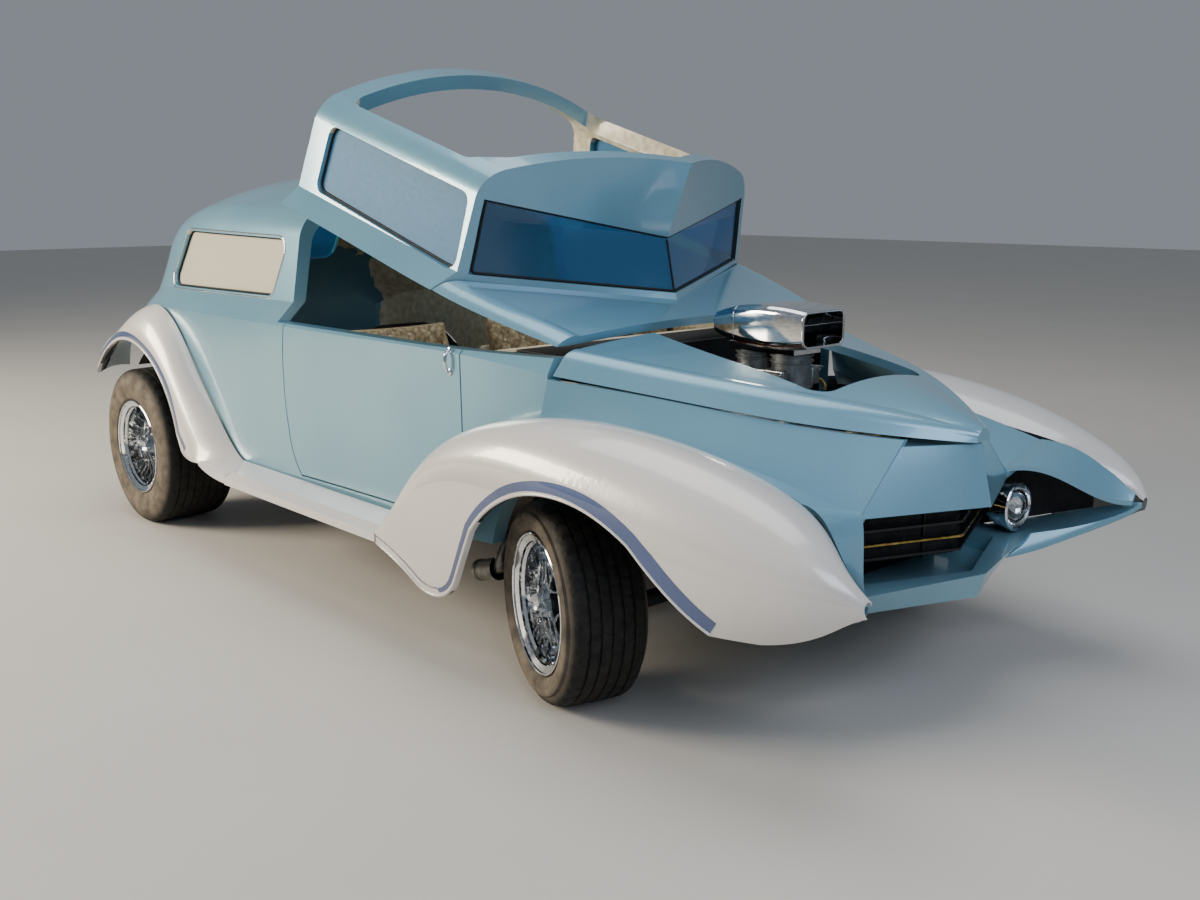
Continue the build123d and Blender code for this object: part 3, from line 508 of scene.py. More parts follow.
def rounded(corners, radius, steps=6):
    """Closed side-view outline with rounded corners."""
    n = len(corners)
    path = []
    for i in range(n):
        p = Vector(corners[i])
        a = (Vector(corners[i - 1]) - p).normalized()
        b = (Vector(corners[(i + 1) % n]) - p).normalized()
        half = math.acos(max(-1, min(1, a.dot(b)))) / 2
        reach = radius / math.tan(half)
        middle = p + (a + b).normalized() * (radius / math.sin(half))
        start = p + a * reach
        end = p + b * reach
        t0 = math.atan2(start.y - middle.y, start.x - middle.x)
        t1 = math.atan2(end.y - middle.y, end.x - middle.x)
        turn = (t1 - t0 + math.pi) % (2 * math.pi) - math.pi
        for k in range(steps + 1):
            along = t0 + turn * k / steps
            path.append((middle.x + radius * math.cos(along), middle.y + radius * math.sin(along)))
    return path


# Camera at the photograph's angle, in metres and degrees
camera_place = (3.666, -2.971, 1.476)
camera_yaw = 137.42
camera_pitch = -11.98
camera_lens = 36.5

camera_data = bpy.data.cameras.new("camera")
camera_data.lens = camera_lens
camera_data.sensor_width = 36
camera = bpy.data.objects.new("camera", camera_data)
camera.location = camera_place
yaw = math.radians(camera_yaw)
pitch = math.radians(camera_pitch)
look = Vector((math.cos(pitch) * math.cos(yaw), math.cos(pitch) * math.sin(yaw), math.sin(pitch)))
camera.rotation_euler = look.to_track_quat("-Z", "Y").to_euler()
scene.collection.objects.link(camera)
scene.camera = camera

# Floor and light
bpy.ops.mesh.primitive_plane_add(size=60, location=(0, 0, 0))
floor = bpy.context.object
floor.name = "floor"
floor_paint, floor_tree, floor_main = shader("floor_paint_pale", Roughness=0.8)
patches = add_node(floor_tree, "TexNoise", None, Vector=grain(floor_tree, 900), Scale=1.0, Detail=3.0)
feed(floor_tree, floor_main,
     Base_Color=add_node(floor_tree, "Mix", rgba, _0=patches, _6=linear("c4c1bb"), _7=linear("cfccc6")))
floor.data.materials.append(floor_paint)


def soft_light(name, place, aim, size, power, colour):
    """Area light at a place in metres, aimed at a point, with its power in watts."""
    data = bpy.data.lights.new(name, "AREA")
    data.shape = "RECTANGLE"
    data.size, data.size_y = size
    data.energy = power
    data.color = linear(colour)[:3]
    lamp = bpy.data.objects.new(name, data)
    lamp.location = place
    lamp.rotation_euler = (Vector(aim) - Vector(place)).to_track_quat("-Z", "Y").to_euler()
    scene.collection.objects.link(lamp)


soft_light("key", (-5.5, -6.5, 3.6), (0, 0, 0.7), (4.0, 3.0), 1050, "fff0d8")
soft_light("fill", (6.0, -2.0, 4.0), (0.5, 0, 0.6), (4.0, 3.0), 160, "e4ecff")
soft_light("top", (0, 0, 6.5), (0, 0, 0), (6.0, 4.0), 190, "ffffff")

world = bpy.data.worlds.new("studio")
scene.world = world
world.use_nodes = True
world.node_tree.nodes["Background"].inputs["Color"].default_value = linear("c4ccd6")
world.node_tree.nodes["Background"].inputs["Strength"].default_value = 0.42


# Finishes of the pieces that come from the CAD model
def dressed(finish, *names):
    """Gives a finish to nodes of the CAD model."""
    for name in names:
        nodes[name].data.materials.clear()
        nodes[name].data.materials.append(finish)


dressed(lined("body_lacquer_lined_cabin", 2330), "body_shell", "door_left", "door_right")
dressed(lined("body_lacquer_lined_canopy", 2060), "canopy_shell")
dressed(body_blue, "hood", "nose_shell", "lower_pan")
dressed(undersealed("fender_lacquer_pearl_sealed"), "front_fender_left", "front_fender_right",
        "rear_fender_left", "rear_fender_right")
dressed(pearl_white, "running_board_left", "running_board_right")
dressed(blue_acrylic, "windshield", "back_glass")
dressed(satin_acrylic, "canopy_side_glass")
dressed(pale_acrylic, "quarter_glass")
dressed(chrome, "front_wheel_left", "front_wheel_right", "rear_wheel_left", "rear_wheel_right",
        "air_scoop", "valve_covers")
dressed(cast("bar_enamel_black", "0b0c0d", "17191b", 0.2, 0.4, 4.0, 0.05), "grille_bars")
dressed(underseal, "frame", "front_axle", "rear_axle", "knuckle_left", "knuckle_right", "wheel_tubs")
dressed(brown_carpet, "floor_pan")
dressed(cast("firewall_enamel_black", "131517", "202326", 0.1, 0.45, 5.0, 0.1), "firewall")
dressed(iron, "engine_block")
dressed(alloy, "intake")
dressed(pipe_steel, "exhaust_pipes")
dressed(cream_vinyl, "dashboard")
dressed(hide("wheel_grip_leather_brown", "2a1d14", "46311f"), "steering_wheel")
dressed(red_glass, "tail_lamps")

# Fenders: a white bead, a slate stripe and a groove round each wheel opening
front_opening = (arc((2045, 345), (2170, 320), (2278, 269), 8)[:-1]
                 + arc((2278, 269), (2400, 250), (2500, 330), 8)[:-1]
                 + [(2500, 330)] + arc((2600, 505), (2905, 672), (3250, 596), 20)[:-1]
                 + arc((3250, 596), (3340, 520), (3479, 410), 8))
rear_opening_radius = 482
rear_axle_height = 351
rear_opening = []
for degrees in range(6, 139, 3):
    reach = rear_opening_radius + max(0, 14 - degrees) * 78 / 11
    turn = math.radians(degrees)
    rear_opening.append((reach * math.cos(turn), rear_axle_height + reach * math.sin(turn)))
paint_lift = 0.7
bead_radius = 4.2


def stripe_width(t):
    """Slate stripe: narrow behind the front wheel, wide where the fender runs down to its tip."""
    if t < 0.22:
        return (30, 32)
    low = 14 if t < 0.6 else 14 - 12 * (t - 0.6) / 0.4
    high = 26 + 26 * max(0, min(1, (t - 0.25) / 0.6))
    return (low, high)


for side, word in ((-1, "right"), (1, "left")):
    shape = surface("front_fender_" + word)
    path = even(front_opening, 12)
    band("front_stripe_" + word, shape, side, path, stripe_width, paint_lift, slate_stripe, "chassis")
    groove = laid(shape, side, shifted(path[:58], 28), -0.4)
    wires("front_groove_" + word, [groove], 1.8, groove_line, "chassis")
    edge = laid(shape, side, shifted(path, 5), 0.2)
    wires("front_bead_" + word, [edge], bead_radius, pearl_white, "chassis")
    shape = surface("rear_fender_" + word)
    path = even(rear_opening, 12)
    band("rear_stripe_" + word, shape, side, path, lambda t: (-14, -38), paint_lift, slate_stripe,
         "chassis")
    edge = laid(shape, side, shifted(path, -5), 0.2)
    wires("rear_bead_" + word, [edge], bead_radius, pearl_white, "chassis")

# Wheels: tyres with tread, wire lacing, caps and drums, made round each wheel's own axis
# Columns: tyre radius and width, outer face's distance from the centre line, station, hub's distance
wheel_sizes = {"front": (303.0, 255.0, 854.0, front_axle_x, king_pin_y + 62),
               "rear": (351.0, 335.0, 884.0, 0.0, 655.0)}
rim_seat = 190.0
rim_inside = 182.6
drum_back = {"front": 644, "rear": 574}
own_middle = Vector((0, 0, 0))
rivet = [(3.2, 0), (2.8, 1.4), (1.5, 2.3), (0, 2.6)]


def wheel_place(end, side):
    """Turn and place of a wheel's own axes, whose Y lies along its axle."""
    radius, _, _, station, _ = wheel_sizes[end]
    middle = Matrix.Translation(at(station, 0, radius))
    if end == "rear":
        return middle
    pin = Matrix.Translation(at(front_axle_x, side * king_pin_y, 0))
    return pin @ Matrix.Rotation(steer_at_rest, 4, "Z") @ pin.inverted() @ middle


def tyre_profile(radius, width, out):
    """Outline of the tyre from rim to rim: (radius, distance out), and which points are tread."""
    inn = out - width
    seat = rim_seat + 0.3
    wall = [(seat, 30), (seat + 12, 25), (seat + 20, 22.5), (seat + 25, 14), (seat + 30, 9)]
    high = radius - rim_seat
    for share, drop in ((0.36, 4.5), (0.46, 1.6), (0.50, 2.6), (0.54, 1.2), (0.62, 1.8), (0.68, 5)):
        wall.append((rim_seat + high * share, drop))
    wall += [(radius - d, w) for d, w in ((34, 13.0), (24, 15.5), (14, 21), (7, 29), (3.2, 40))]

    def crown(y):
        """Tread's radius at a distance out."""
        return radius - 3.2 * ((y - (out + inn) / 2) / (width / 2 - 40)) ** 2

    grooves = 5 if width < 300 else 7
    pitch = (out - inn - 88) / grooves
    tread = []
    for g in range(grooves):
        y = out - 44 - pitch * (g + 0.5)
        tread += [(crown(y) - deep, y + across)
                  for deep, across in ((0, 4.2), (6, 3.0), (6, -3.0), (0, -4.2))]
        if g < grooves - 1:
            tread.append((crown(y - pitch / 2), y - pitch / 2))
    outer = [(r, out - d) for r, d in wall]
    inner = [(r, inn + d) for r, d in wall[::-1]]
    return outer + tread + inner, len(outer), len(outer) + len(tread)


def tyre(end, side, word):
    """Tyre with grooves, and sipes that stagger from row to row."""
    radius, width, out, _, _ = wheel_sizes[end]
    outline, first, last = tyre_profile(radius, width, out)
    steps = 216
    sipe_depth = 0.0035
    points, faces = turned([(r, side * y) for r, y in outline], own_middle, leftward, steps, True)
    count = len(outline)
    for i in range(steps):
        for k in range(first - 2, last + 2):
            if (i + (k // 5) * 2) % 6 == 0:
                p = points[i * count + k]
                points[i * count + k] = p - Vector((p.x, 0, p.z)).normalized() * sipe_depth
    finish = tyre_rubber("tyre_rubber_" + end, radius / 1000)
    piece = new_piece(f"{end}_tread_{word}", points, faces, finish, f"wheel_{end}_{word}", 28,
                      wheel_place(end, side))
    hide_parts(f"{end}_tyre_{word}")


def spoke_point(radius, turn, out):
    """Point at a radius, an angle and a distance out along the axle, in the wheel's own axes."""
    return Vector((radius * math.cos(turn), out, radius * math.sin(turn))) / 1000


def wheel_dress(end, side, word):
    """Laced wires, knock-off cap with three ears, rim bead, rivets, valve and finned drum."""
    _, _, out, _, hub_y = wheel_sizes[end]
    body = f"wheel_{end}_{word}"
    place = wheel_place(end, side)
    runs = []
    for row, (hub_r, hub_off, rim_off) in enumerate(((36, 46, 26), (50, 20, -14))):
        for i in range(24):
            a = 2 * math.pi * (i + row * 0.5) / 24
            b = a + (0.30 if i % 2 else -0.30)
            runs.append([spoke_point(hub_r, a, side * (hub_y + hub_off)),
                         spoke_point(rim_inside, b, side * (hub_y + rim_off))])
    wires(f"{end}_wires_{word}", runs, 2.1, chrome, body, smooth=False, place=place)
    cap = [(0, 84), (9, 83), (15, 78), (17, 70), (26, 66), (34, 60), (38, 54), (41, 50.5), (37, 50.5)]
    shapes = [turned([(r, side * (hub_y + a)) for r, a in cap], own_middle, leftward, 40)]
    for i in range(3):
        a = 2 * math.pi * i / 3 + 0.4
        shapes.append(slab(spoke_point(30, a, side * (hub_y + 68)), (40, 9, 13), 4,
                           Matrix.Rotation(-a, 3, "Y")))
    new_piece(f"{end}_cap_{word}", *joined(*shapes), chrome, body, 30, place)
    face = out - 14
    bead = [(18.4, -1.5), (19.0, 2.0), (16, 3.6), (12.5, 2.0), (11.0, -1.5)]
    steps_in = [(182.4, 18), (176, 26), (181, 34), (182.4, 36)]
    shapes = [turned([(rim_seat + r, side * (face + a)) for r, a in bead], own_middle, leftward, 96),
              turned([(r, side * (face - a)) for r, a in steps_in], own_middle, leftward, 96)]
    for i in range(24):
        a = 2 * math.pi * (i + 0.25) / 24
        shapes.append(turned([(3.6, 0), (3.2, 1.6), (1.8, 2.6), (0, 3.0)],
                             spoke_point(181.5, a, side * (face - 48)), -spoke_point(1, a, 0), 8))
    new_piece(f"{end}_rim_dress_{word}", *joined(*shapes), chrome, body, 30, place)
    stem = [(0, 34), (2.6, 33), (3.0, 24), (2.2, 23), (2.2, 8), (4.5, 6), (4.5, 0)]
    spot = spoke_point(176, 1.1, 0) + leftward * side * (hub_y + 20) / 1000
    new_piece(f"{end}_valve_{word}", *turned(stem, spot, leftward * side, 12), brass, body, 30, place)
    back = drum_back[end]
    drum = [(24, back), (120, back), (132, back + 3)]
    for f in range(int((hub_y - 8 - back) / 7)):
        drum += [(r, back + a + f * 7) for r, a in ((132, 4), (140, 5), (140, 7.5), (132, 8.5))]
    drum += [(130, hub_y - 6), (112, hub_y - 3), (60, hub_y - 1), (24, hub_y - 1)]
    shape = turned([(r, side * y) for r, y in drum], own_middle, leftward, 72, True)
    new_piece(f"{end}_drum_{word}", *shape, iron, body, 30, place)


for end in ("front", "rear"):
    for side, word in ((-1, "right"), (1, "left")):
        tyre(end, side, word)
        wheel_dress(end, side, word)

# Headlamps: bucket, ring, mirror, bulb and fluted glass in place of the plain solids.
# Profiles give the radius and the distance ahead of the bucket's back or of the lamp's front.
lamp_y, lamp_z, lamp_front, lamp_radius, lamp_back = 448.0, 524.0, 3570.0, 78.0, 3480.0
flute = 9
for side, word in ((-1, "right"), (1, "left")):
    middle = at(0, side * lamp_y, lamp_z)
    wide = lamp_radius
    bucket = [(0, 0), (52, 0), (66, 26), (wide - 4, 50), (wide - 4, 75), (wide - 9, 75), (60, 52), (40, 20),
              (0, 10)]
    bucket = [(r, lamp_back + a) for r, a in bucket]
    piece = new_piece("lamp_bucket_" + word, *turned(bucket, middle, forward, 64), chrome, "chassis")
    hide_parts("headlight_" + word)
    ring = [(wide - 4, -15), (wide, -13), (wide, -3), (wide - 3, 0.5), (wide - 8, 1), (wide - 10, -3),
            (wide - 10, -12)]
    mirror = [(67, -12), (60, -30), (46, -48), (28, -60), (10, -65), (0, -65)]
    bulb = [(0, -28), (8, -31), (11, -38), (9, -46), (6, -52), (6, -64)]
    lens = [(68, -4), (60, 1.5), (48, 5.5), (34, 9), (18, 11.5), (0, 12.5)]
    ring, mirror, bulb, lens = ([(r, lamp_front + a) for r, a in rows]
                                for rows in (ring, mirror, bulb, lens))
    new_piece("lamp_ring_" + word, *turned(ring, middle, forward, 64, True), chrome, "chassis")
    new_piece("lamp_mirror_" + word, *turned(mirror, middle, forward, 64), chrome, "chassis")
    new_piece("lamp_bulb_" + word, *turned(bulb, middle, forward, 24), lamp_glass, "chassis")
    glass, glass_faces = turned(lens, middle, forward, 96)
    for p in glass:
        across = (p.y - side * lamp_y / 1000) * 1000
        if abs(across) < 60:
            p.x -= 0.0006 * (1 + math.sin(across * 2 * math.pi / flute))
    new_piece("lamp_lens_" + word, glass, glass_faces, lamp_glass, "chassis")

# Tail lamps' rings and exhaust tips
ring = [(44, -3), (51, -3), (53, 2), (53, 10), (50, 13), (46, 13), (45.2, 10), (45.2, 0)]
shapes = [turned(ring, at(-328.5, y, 720), -forward, 48, True) for y in (-500, 500)]
new_piece("tail_lamp_rings", *joined(*shapes), chrome, "chassis")
tip = [(28, 6), (33, 0), (36.5, 10), (36.5, 118), (34, 121), (31, 118), (29, 30), (29, 6)]
shapes = [turned(tip, at(612, y, 279.7), -forward, 40, True) for y in (-290, 290)]
new_piece("exhaust_tips", *joined(*shapes), chrome, "chassis")

# Scoop: lip round the mouth, throttle plates, a black wall behind them as painted shade for the dark
# throat, and rivets
scoop_z = 1072.0
throttle_x = 3040.0


def round_box(half_w, half_h, radius, steps=7):
    """Rounded rectangle round the X axis: (out, up) in mm."""
    ring = []
    for cy, cz, start in ((1, 1, 0), (-1, 1, 90), (-1, -1, 180), (1, -1, 270)):
        for k in range(steps + 1):
            a = math.radians(start + 90 * k / steps)
            ring.append((cy * (half_w - radius) + radius * math.cos(a),
                         cz * (half_h - radius) + radius * math.sin(a)))
    return ring


for name, x, box, thick in (("scoop_lip", 3136.5, (99.5, 53, 25), 4.4),
                            ("scoop_collar", 2868, (102.5, 56, 28), 2.6)):
    run = [at(x, y, scoop_z + z) for y, z in round_box(*box)]
    wires(name, [run], thick, chrome, "chassis", closed=True)
shapes = [slab(at(throttle_x, y, scoop_z), (54, 58, 5), 1.5, rotation(-62, "Y")) for y in (-66, 0, 66)]
# black wall across the whole scoop behind the plates: painted shade for the dark throat
shapes.append(slab(at(2960, 0, scoop_z), (10, 192, 98), 3))
throat_black = cast("scoop_throat_shade_black", "08090a", "141618", 0.4, 0.5)
new_piece("scoop_plates_and_shade_wall", *joined(*shapes), throat_black, "chassis")
run = [at(throttle_x, y, scoop_z) for y in (-96, 96)]
wires("scoop_shaft", [run], 3.4, polished, "chassis", smooth=False)
shapes = []
for x in (2890, 3110):
    shapes += [turned(rivet, at(x, y, 1127.9), upward, 8) for y in range(-80, 81, 20)]
    shapes += [turned(rivet, at(x, side * 102.4, scoop_z + z), leftward * side, 8)
               for z in (-26, 0, 26) for side in (-1, 1)]
new_piece("scoop_rivets", *joined(*shapes), polished, "chassis")

# Engine: carburettor bowls and linkage, covers' fins and bolts, ignition leads, belt, fan and headers
carb_stations = (2880, 3020)
shapes, bright = [], []
for x in carb_stations:
    for side in (-1, 1):
        shapes.append(slab(at(x, side * 72, 916), (84, 40, 56), 7))
        bright.append(slab(at(x, side * 94, 905), (22, 10, 16), 3))
        bright += [turned([(5.5, 0), (5.5, 5), (3, 7), (0, 7)], at(x + dx, side * 92, 932),
                          leftward * side, 6) for dx in (-34, 34)]
    shapes += [turned([(62, 0), (68, 1.5), (68, 6.5), (62, 8)], at(x, 0, z), upward, 48)
               for z in (866, 884, 962, 980)]
new_piece("carburettor_bowls", *joined(*shapes), alloy, "chassis", 30)
new_piece("carburettor_fittings", *joined(*bright), polished, "chassis", 30)
fuel_route = [(2800, 112, 900), (2860, 116, 904), (3000, 116, 904), (3070, 108, 896), (3100, 70, 880)]
runs = [[at(x, side * y, z) for x, y, z in fuel_route] for side in (-1, 1)]
wires("fuel_lines", runs, 5.5, brass, "chassis")
rods = [[at(2835, y, 940), at(3065, y, 940)] for y in (-100, 100)]
rods += [[at(x, -100, 940), at(x, 100, 940)] for x in carb_stations]
wires("throttle_rods", rods, 3.2, polished, "chassis", smooth=False)
shapes = []
for side in (-1, 1):
    out = Vector((0, side, 1)).normalized()
    down = Vector((0, side, -1)).normalized()
    top = at(2960, side * 255.2, 745.2)
    for i in range(-3, 4):
        spot = top + out * 0.0562 + down * (i * 9) / 1000
        shapes.append(slab(spot + out * 0.0015, (400, 3.4, 5), 1.2, rotation(-side * 45, "X")))
    for x in (-205, -70, 70, 205):
        spot = top + forward * (x / 1000) + out * 0.014
        shapes += [turned([(5, 0), (5, 5), (4, 7), (0, 7)], spot + down * reach / 1000, out, 6)
                   for reach in (-47, 47)]
new_piece("valve_cover_fins", *joined(*shapes), polished, "chassis", 30)

distributor_x = 2752.0
cap = [(0, 62), (18, 62), (30, 56), (38, 40), (40, 20), (42, 18), (42, 0), (0, 0)]
shapes = [turned(cap, at(distributor_x, 0, 858), upward, 32)]
runs = []
for i in range(8):
    a = 2 * math.pi * i / 8
    out, over = math.cos(a), math.sin(a)
    shapes.append(turned([(5, 0), (5, 14), (3.5, 16), (0, 16)],
                         at(distributor_x + 24 * out, 24 * over, 914), upward, 10))
    side = 1 if i < 4 else -1
    x = 2775 + (i % 4) * 118
    route = [(x - 30, 170, 822), (x, 236, 812), (x + 4, 296, 772), (x + 4, 312, 716), (x, 298, 668)]
    runs.append([at(distributor_x + 24 * out, 24 * over, 926), at(distributor_x + 40 * out, 40 * over, 938),
                 at(2800 + (i % 4) * 30, side * 110, 880)] + [at(u, side * v, w) for u, v, w in route])
new_piece("distributor_cap", *joined(*shapes), seal_rubber, "chassis", 30)
lead_red = rubber("ignition_lead_silicone", "7a1512", "a3211b", 0.5)[0]
wires("ignition_leads", runs, 4.0, lead_red, "chassis")

# Columns: pulley's height and radius, and where the belt meets it
pulleys = ((560, 82, 188, 164), (700, 54, -8, 196))
rows = []
for x, inset in ((3238, 0), (3252, 0), (3252, 4), (3238, 4), (3238, 0)):
    rows.append([at(x, (r + inset) * math.cos(math.radians(a + b * k / 18)),
                    z + (r + inset) * math.sin(math.radians(a + b * k / 18)))
                 for z, r, a, b in pulleys for k in range(19)])
new_piece("fan_belt", *skin(rows, closed=True), seal_rubber, "chassis", 60)
hub = [(0, 3322), (26, 3322), (30, 3316), (30, 3282), (20, 3280)]
shapes = [turned(hub, at(0, 0, 700), forward, 32)]
for i in range(6):
    a = 2 * math.pi * i / 6
    blade = Matrix.Rotation(a, 3, "X") @ rotation(24, "Y")
    shapes.append(slab(at(3308, 92 * math.cos(a), 700 + 92 * math.sin(a)), (4, 130, 52), 1.5, blade))
new_piece("engine_fan", *joined(*shapes), polished, "chassis", 30)
runs, shapes = [], []
for side in (-1, 1):
    for i in range(4):
        x = 2770 + 120 * i
        route = [(x, 268, 630), (x - 8, 330, 628), (x - 40, 392, 596 - i * 10),
                 (max(2660, x - 190), 408, 560 - i * 22), (2520, 455 + i * 4, 560 - i * 36),
                 (2432, 520 + i * 8, 520 - i * 42), (2424, 600, 452 - i * 40), (2424, 668, 386 - i * 26),
                 (2414, 690, 322 - i * 8), (2400, 690, 290)]
        runs.append([at(u, side * v, w) for u, v, w in route])
        shapes.append(slab(at(x, side * 279, 630), (74, 8, 62), 3))
    shapes.append(turned([(38, 0), (36, 40), (33, 90), (36, 92), (36, 104), (30, 106), (0, 106)],
                         at(2418, side * 690, 300), Vector((-1, 0, -0.28)), 40))
wires("header_tubes", runs, 17.5, pipe_steel, "chassis")
new_piece("header_collectors", *joined(*shapes), pipe_steel, "chassis", 30)

# Cabin: tufted velvet seats and door panels
tuft_depth = 17.0
tuft_lean = 0.8
floor_top = 406.0


def tuft(a, b, pitch):
    """Height from 0 at the stitched creases to 1 in the middle of each diamond."""
    u = (a + b * tuft_lean) / pitch
    v = (a - b * tuft_lean) / pitch
    return (abs(math.sin(math.pi * u)) * abs(math.sin(math.pi * v))) ** 0.42


def edge_fall(u, v, power):
    """Height from 1 inside a face to 0 at its edges, where u or v is 1 or -1."""
    return ((1 - abs(u) ** power) * (1 - abs(v) ** power)) ** 0.40


def cushion(middle, across, along, half_w, half_l, thick, pitch, swell):
    """Crowned cushion whose sides pull in between its corners, with a buttoned face."""
    up = across.cross(along).normalized()
    columns = 56
    lines = int(columns * half_l / half_w)
    pull_in = 5
    sheets = []
    for face in (1, -1):
        rows = []
        for i in range(lines + 1):
            v = -1 + 2 * i / lines
            row = []
            for j in range(columns + 1):
                u = -1 + 2 * j / columns
                a = u * (half_w - pull_in * (1 - v * v))
                b = v * (half_l - pull_in * (1 - u * u))
                height = face * thick / 2
                if face > 0:
                    height += swell * (1 - u * u) * (1 - v * v) - tuft_depth * (1 - tuft(a, b, pitch))
                height *= edge_fall(u, v, 7)
                row.append(middle + across * a / 1000 + along * b / 1000 + up * height / 1000)
            rows.append(row)
        sheets.append(skin(rows))
    return joined(*sheets)


def buttons(middle, across, along, half_w, half_l, thick, pitch, swell):
    """Covered buttons where the creases cross."""
    up = across.cross(along).normalized()
    shapes = []
    for i in range(-9, 10):
        for j in range(-9, 10):
            a = (i + j) * pitch / 2
            b = (i - j) * pitch / 2 / tuft_lean
            u, v = a / half_w, b / half_l
            if abs(u) > 0.86 or abs(v) > 0.86:
                continue
            height = thick / 2 + swell * (1 - u * u) * (1 - v * v) - tuft_depth
            height = height * edge_fall(u, v, 7) + 1.5
            spot = middle + across * a / 1000 + along * b / 1000 + up * height / 1000
            shapes.append(turned([(8, -2), (8, 1), (6, 3.6), (3, 4.8), (0, 5.2)], spot, up, 12))
    return joined(*shapes)


# Columns: station and height of the middle, direction, half length, thickness and swell
seat_parts = {"seat_base": (1715, 522, Vector((-1, 0, -0.095)).normalized(), 222, 96, 14),
              "seat_back": (1384, 752, Vector((-0.287, 0, 0.958)).normalized(), 218, 92, 12)}
seat_half_width = 238
seat_pitch = 92
for y, word in ((-345, "right"), (345, "left")):
    for name, (x, z, along, half_l, thick, swell) in seat_parts.items():
        facing = leftward.cross(along)
        across = leftward if facing.z + facing.x > 0 else -leftward
        sizes = (at(x, y, z), across, along, seat_half_width, half_l, thick, seat_pitch, swell)
        pad = new_piece(f"{name}_{word}", *cushion(*sizes), tan_velvet, "chassis", 80)
        if name == "seat_base":
            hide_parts("seats")
        new_piece(f"{name}_buttons_{word}", *buttons(*sizes), cream_vinyl, "chassis", 60)
    base = joined(slab(at(1620, y, 438), (550, 480, 63), 12),
                  slab(at(1330, y, 640), (34, 470, 420), 14, rotation(-16.7, "Y")))
    new_piece("seat_shell_" + word, *base, cream_vinyl, "chassis", 40)

panel_half_w, panel_half_h, panel_thick, panel_pitch = 395, 205, 22, 96
for side, word in ((-1, "right"), (1, "left")):
    tree = surface("door_" + word)
    columns, lines = 84, 44
    rows = []
    for i in range(lines + 1):
        row = []
        for j in range(columns + 1):
            u = -1 + 2 * j / columns
            v = -1 + 2 * i / lines
            a, b = u * panel_half_w, v * panel_half_h
            spot = at(1770 + a, side * 300, 722 + b)
            hit = tree.ray_cast(spot, leftward * side, 0.7)[0]
            spot.y = hit.y if hit is not None else side * 0.706
            lift = edge_fall(u, v, 9) * panel_thick * (0.5 + 0.5 * tuft(a, b, panel_pitch))
            spot.y -= side * (lift + 0.5) / 1000
            row.append(spot)
        rows.append(row)
    pad = new_piece("door_panel_" + word, *skin(rows), tan_velvet, "door_" + word, 80)

# Dash: gauges, horn button, lever and pedals
toward = Vector((-1, 0, 0.2)).normalized()
dial_up = Vector((0.2, 0, 1)).normalized()
dial_lean = rotation(11, "Y")
rings, dials, marks, glasses = [], [], [], []
for y, r in ((-150, 30), (-60, 30), (238, 38), (345, 30), (452, 38)):
    spot = at(2139, y, 862)
    rings.append(turned([(r - 3, -6), (r + 3, -6), (r + 4, 2), (r + 2, 7), (r - 2, 8), (r - 4, 5)],
                        spot, toward, 40, True))
    dials.append(turned([(0, 1.5), (r - 3, 1.5)], spot, toward, 32))
    glasses.append(turned([(0, 6.5), (r * 0.6, 6.0), (r - 3, 4.5)], spot, toward, 32))
    for k in range(11):
        turn = rotation(-120 + 24 * k, toward)
        marks.append(slab(spot + toward * 0.0022 + (turn @ dial_up) * (r - 8) / 1000,
                          (1.2, 1.6, 6), 0.4, turn @ dial_lean))
    turn = rotation(-70 + y * 0.2, toward)
    marks.append(slab(spot + toward * 0.0032 + (turn @ dial_up) * (r * 0.35) / 1000,
                      (1.2, 1.4, r * 0.8), 0.4, turn @ dial_lean))
new_piece("gauge_rings", *joined(*rings), chrome, "chassis", 30)
new_piece("gauge_dials", *joined(*dials), iron, "chassis", 30)
new_piece("gauge_marks", *joined(*marks), cream_vinyl, "chassis", 30)
new_piece("gauge_glasses", *joined(*glasses), lamp_glass, "chassis", 30)
helm = Vector((-0.85, 0, 0.53)).normalized()
horn = [(34, 5), (34, 11), (30, 16), (18, 20), (0, 21)]
new_piece("horn_button", *turned(horn, at(1985, 345, 850), helm, 40), chrome, "chassis", 30)
lever = [at(x, 0, z) for x, z in ((2080, 408), (2078, 480), (2040, 600), (2020, 690))]
wires("gear_lever", [lever], 7, chrome, "chassis")
knob = [(0, 42), (12, 40), (21, 32), (24, 21), (21, 9), (12, 2), (8, 0)]
new_piece("gear_knob", *turned(knob, at(2019, 0, 684), Vector((-0.2, 0, 1)), 32), cream_vinyl,
          "chassis", 60)
gaiter = [(60, 0), (58, 7), (46, 14), (48, 20), (36, 28), (38, 34), (26, 44), (27, 50), (14, 64), (9, 70)]
new_piece("lever_gaiter", *turned(gaiter, at(2080, 0, floor_top + 0.5), upward, 40), seal_rubber,
          "chassis", 60)
shapes = [slab(at(2440, y, 540), (10, wide, high), 5, rotation(30, "Y"))
          for y, wide, high in ((270, 60, 70), (345, 60, 70), (440, 44, 120))]
new_piece("pedal_pads", *joined(*shapes), seal_rubber, "chassis", 40)
arm = ((2445, 548), (2490, 600), (2520, 700), (2543, 730))
runs = [[at(x, y, z) for x, z in arm] for y in (270, 345)]
runs.append([at(2446, 425, 500), at(2490, 424, 460), at(2540, 423, 440)])
wires("pedal_arms", runs, 6, iron, "chassis")

# Glazing rubber, window beads, door pulls
back_turn = canopy_turn.inverted()
side_opening = rounded([(1290, 1318), (2122, 1308), (2150, 1062), (1290, 1082)], 40)
quarter_opening = rounded([(182, 1312), (1090, 1300), (1000, 1078), (60, 1070)], 45)
panes = surface("canopy_side_glass", back=back_turn)
quarter = surface("quarter_glass")
tub = surface("body_shell")
pull_x, pull_z = 2262, 955


def raised(run):
    """Points of the closed canopy, turned to where it rests."""
    return [canopy_turn @ p for p in run]


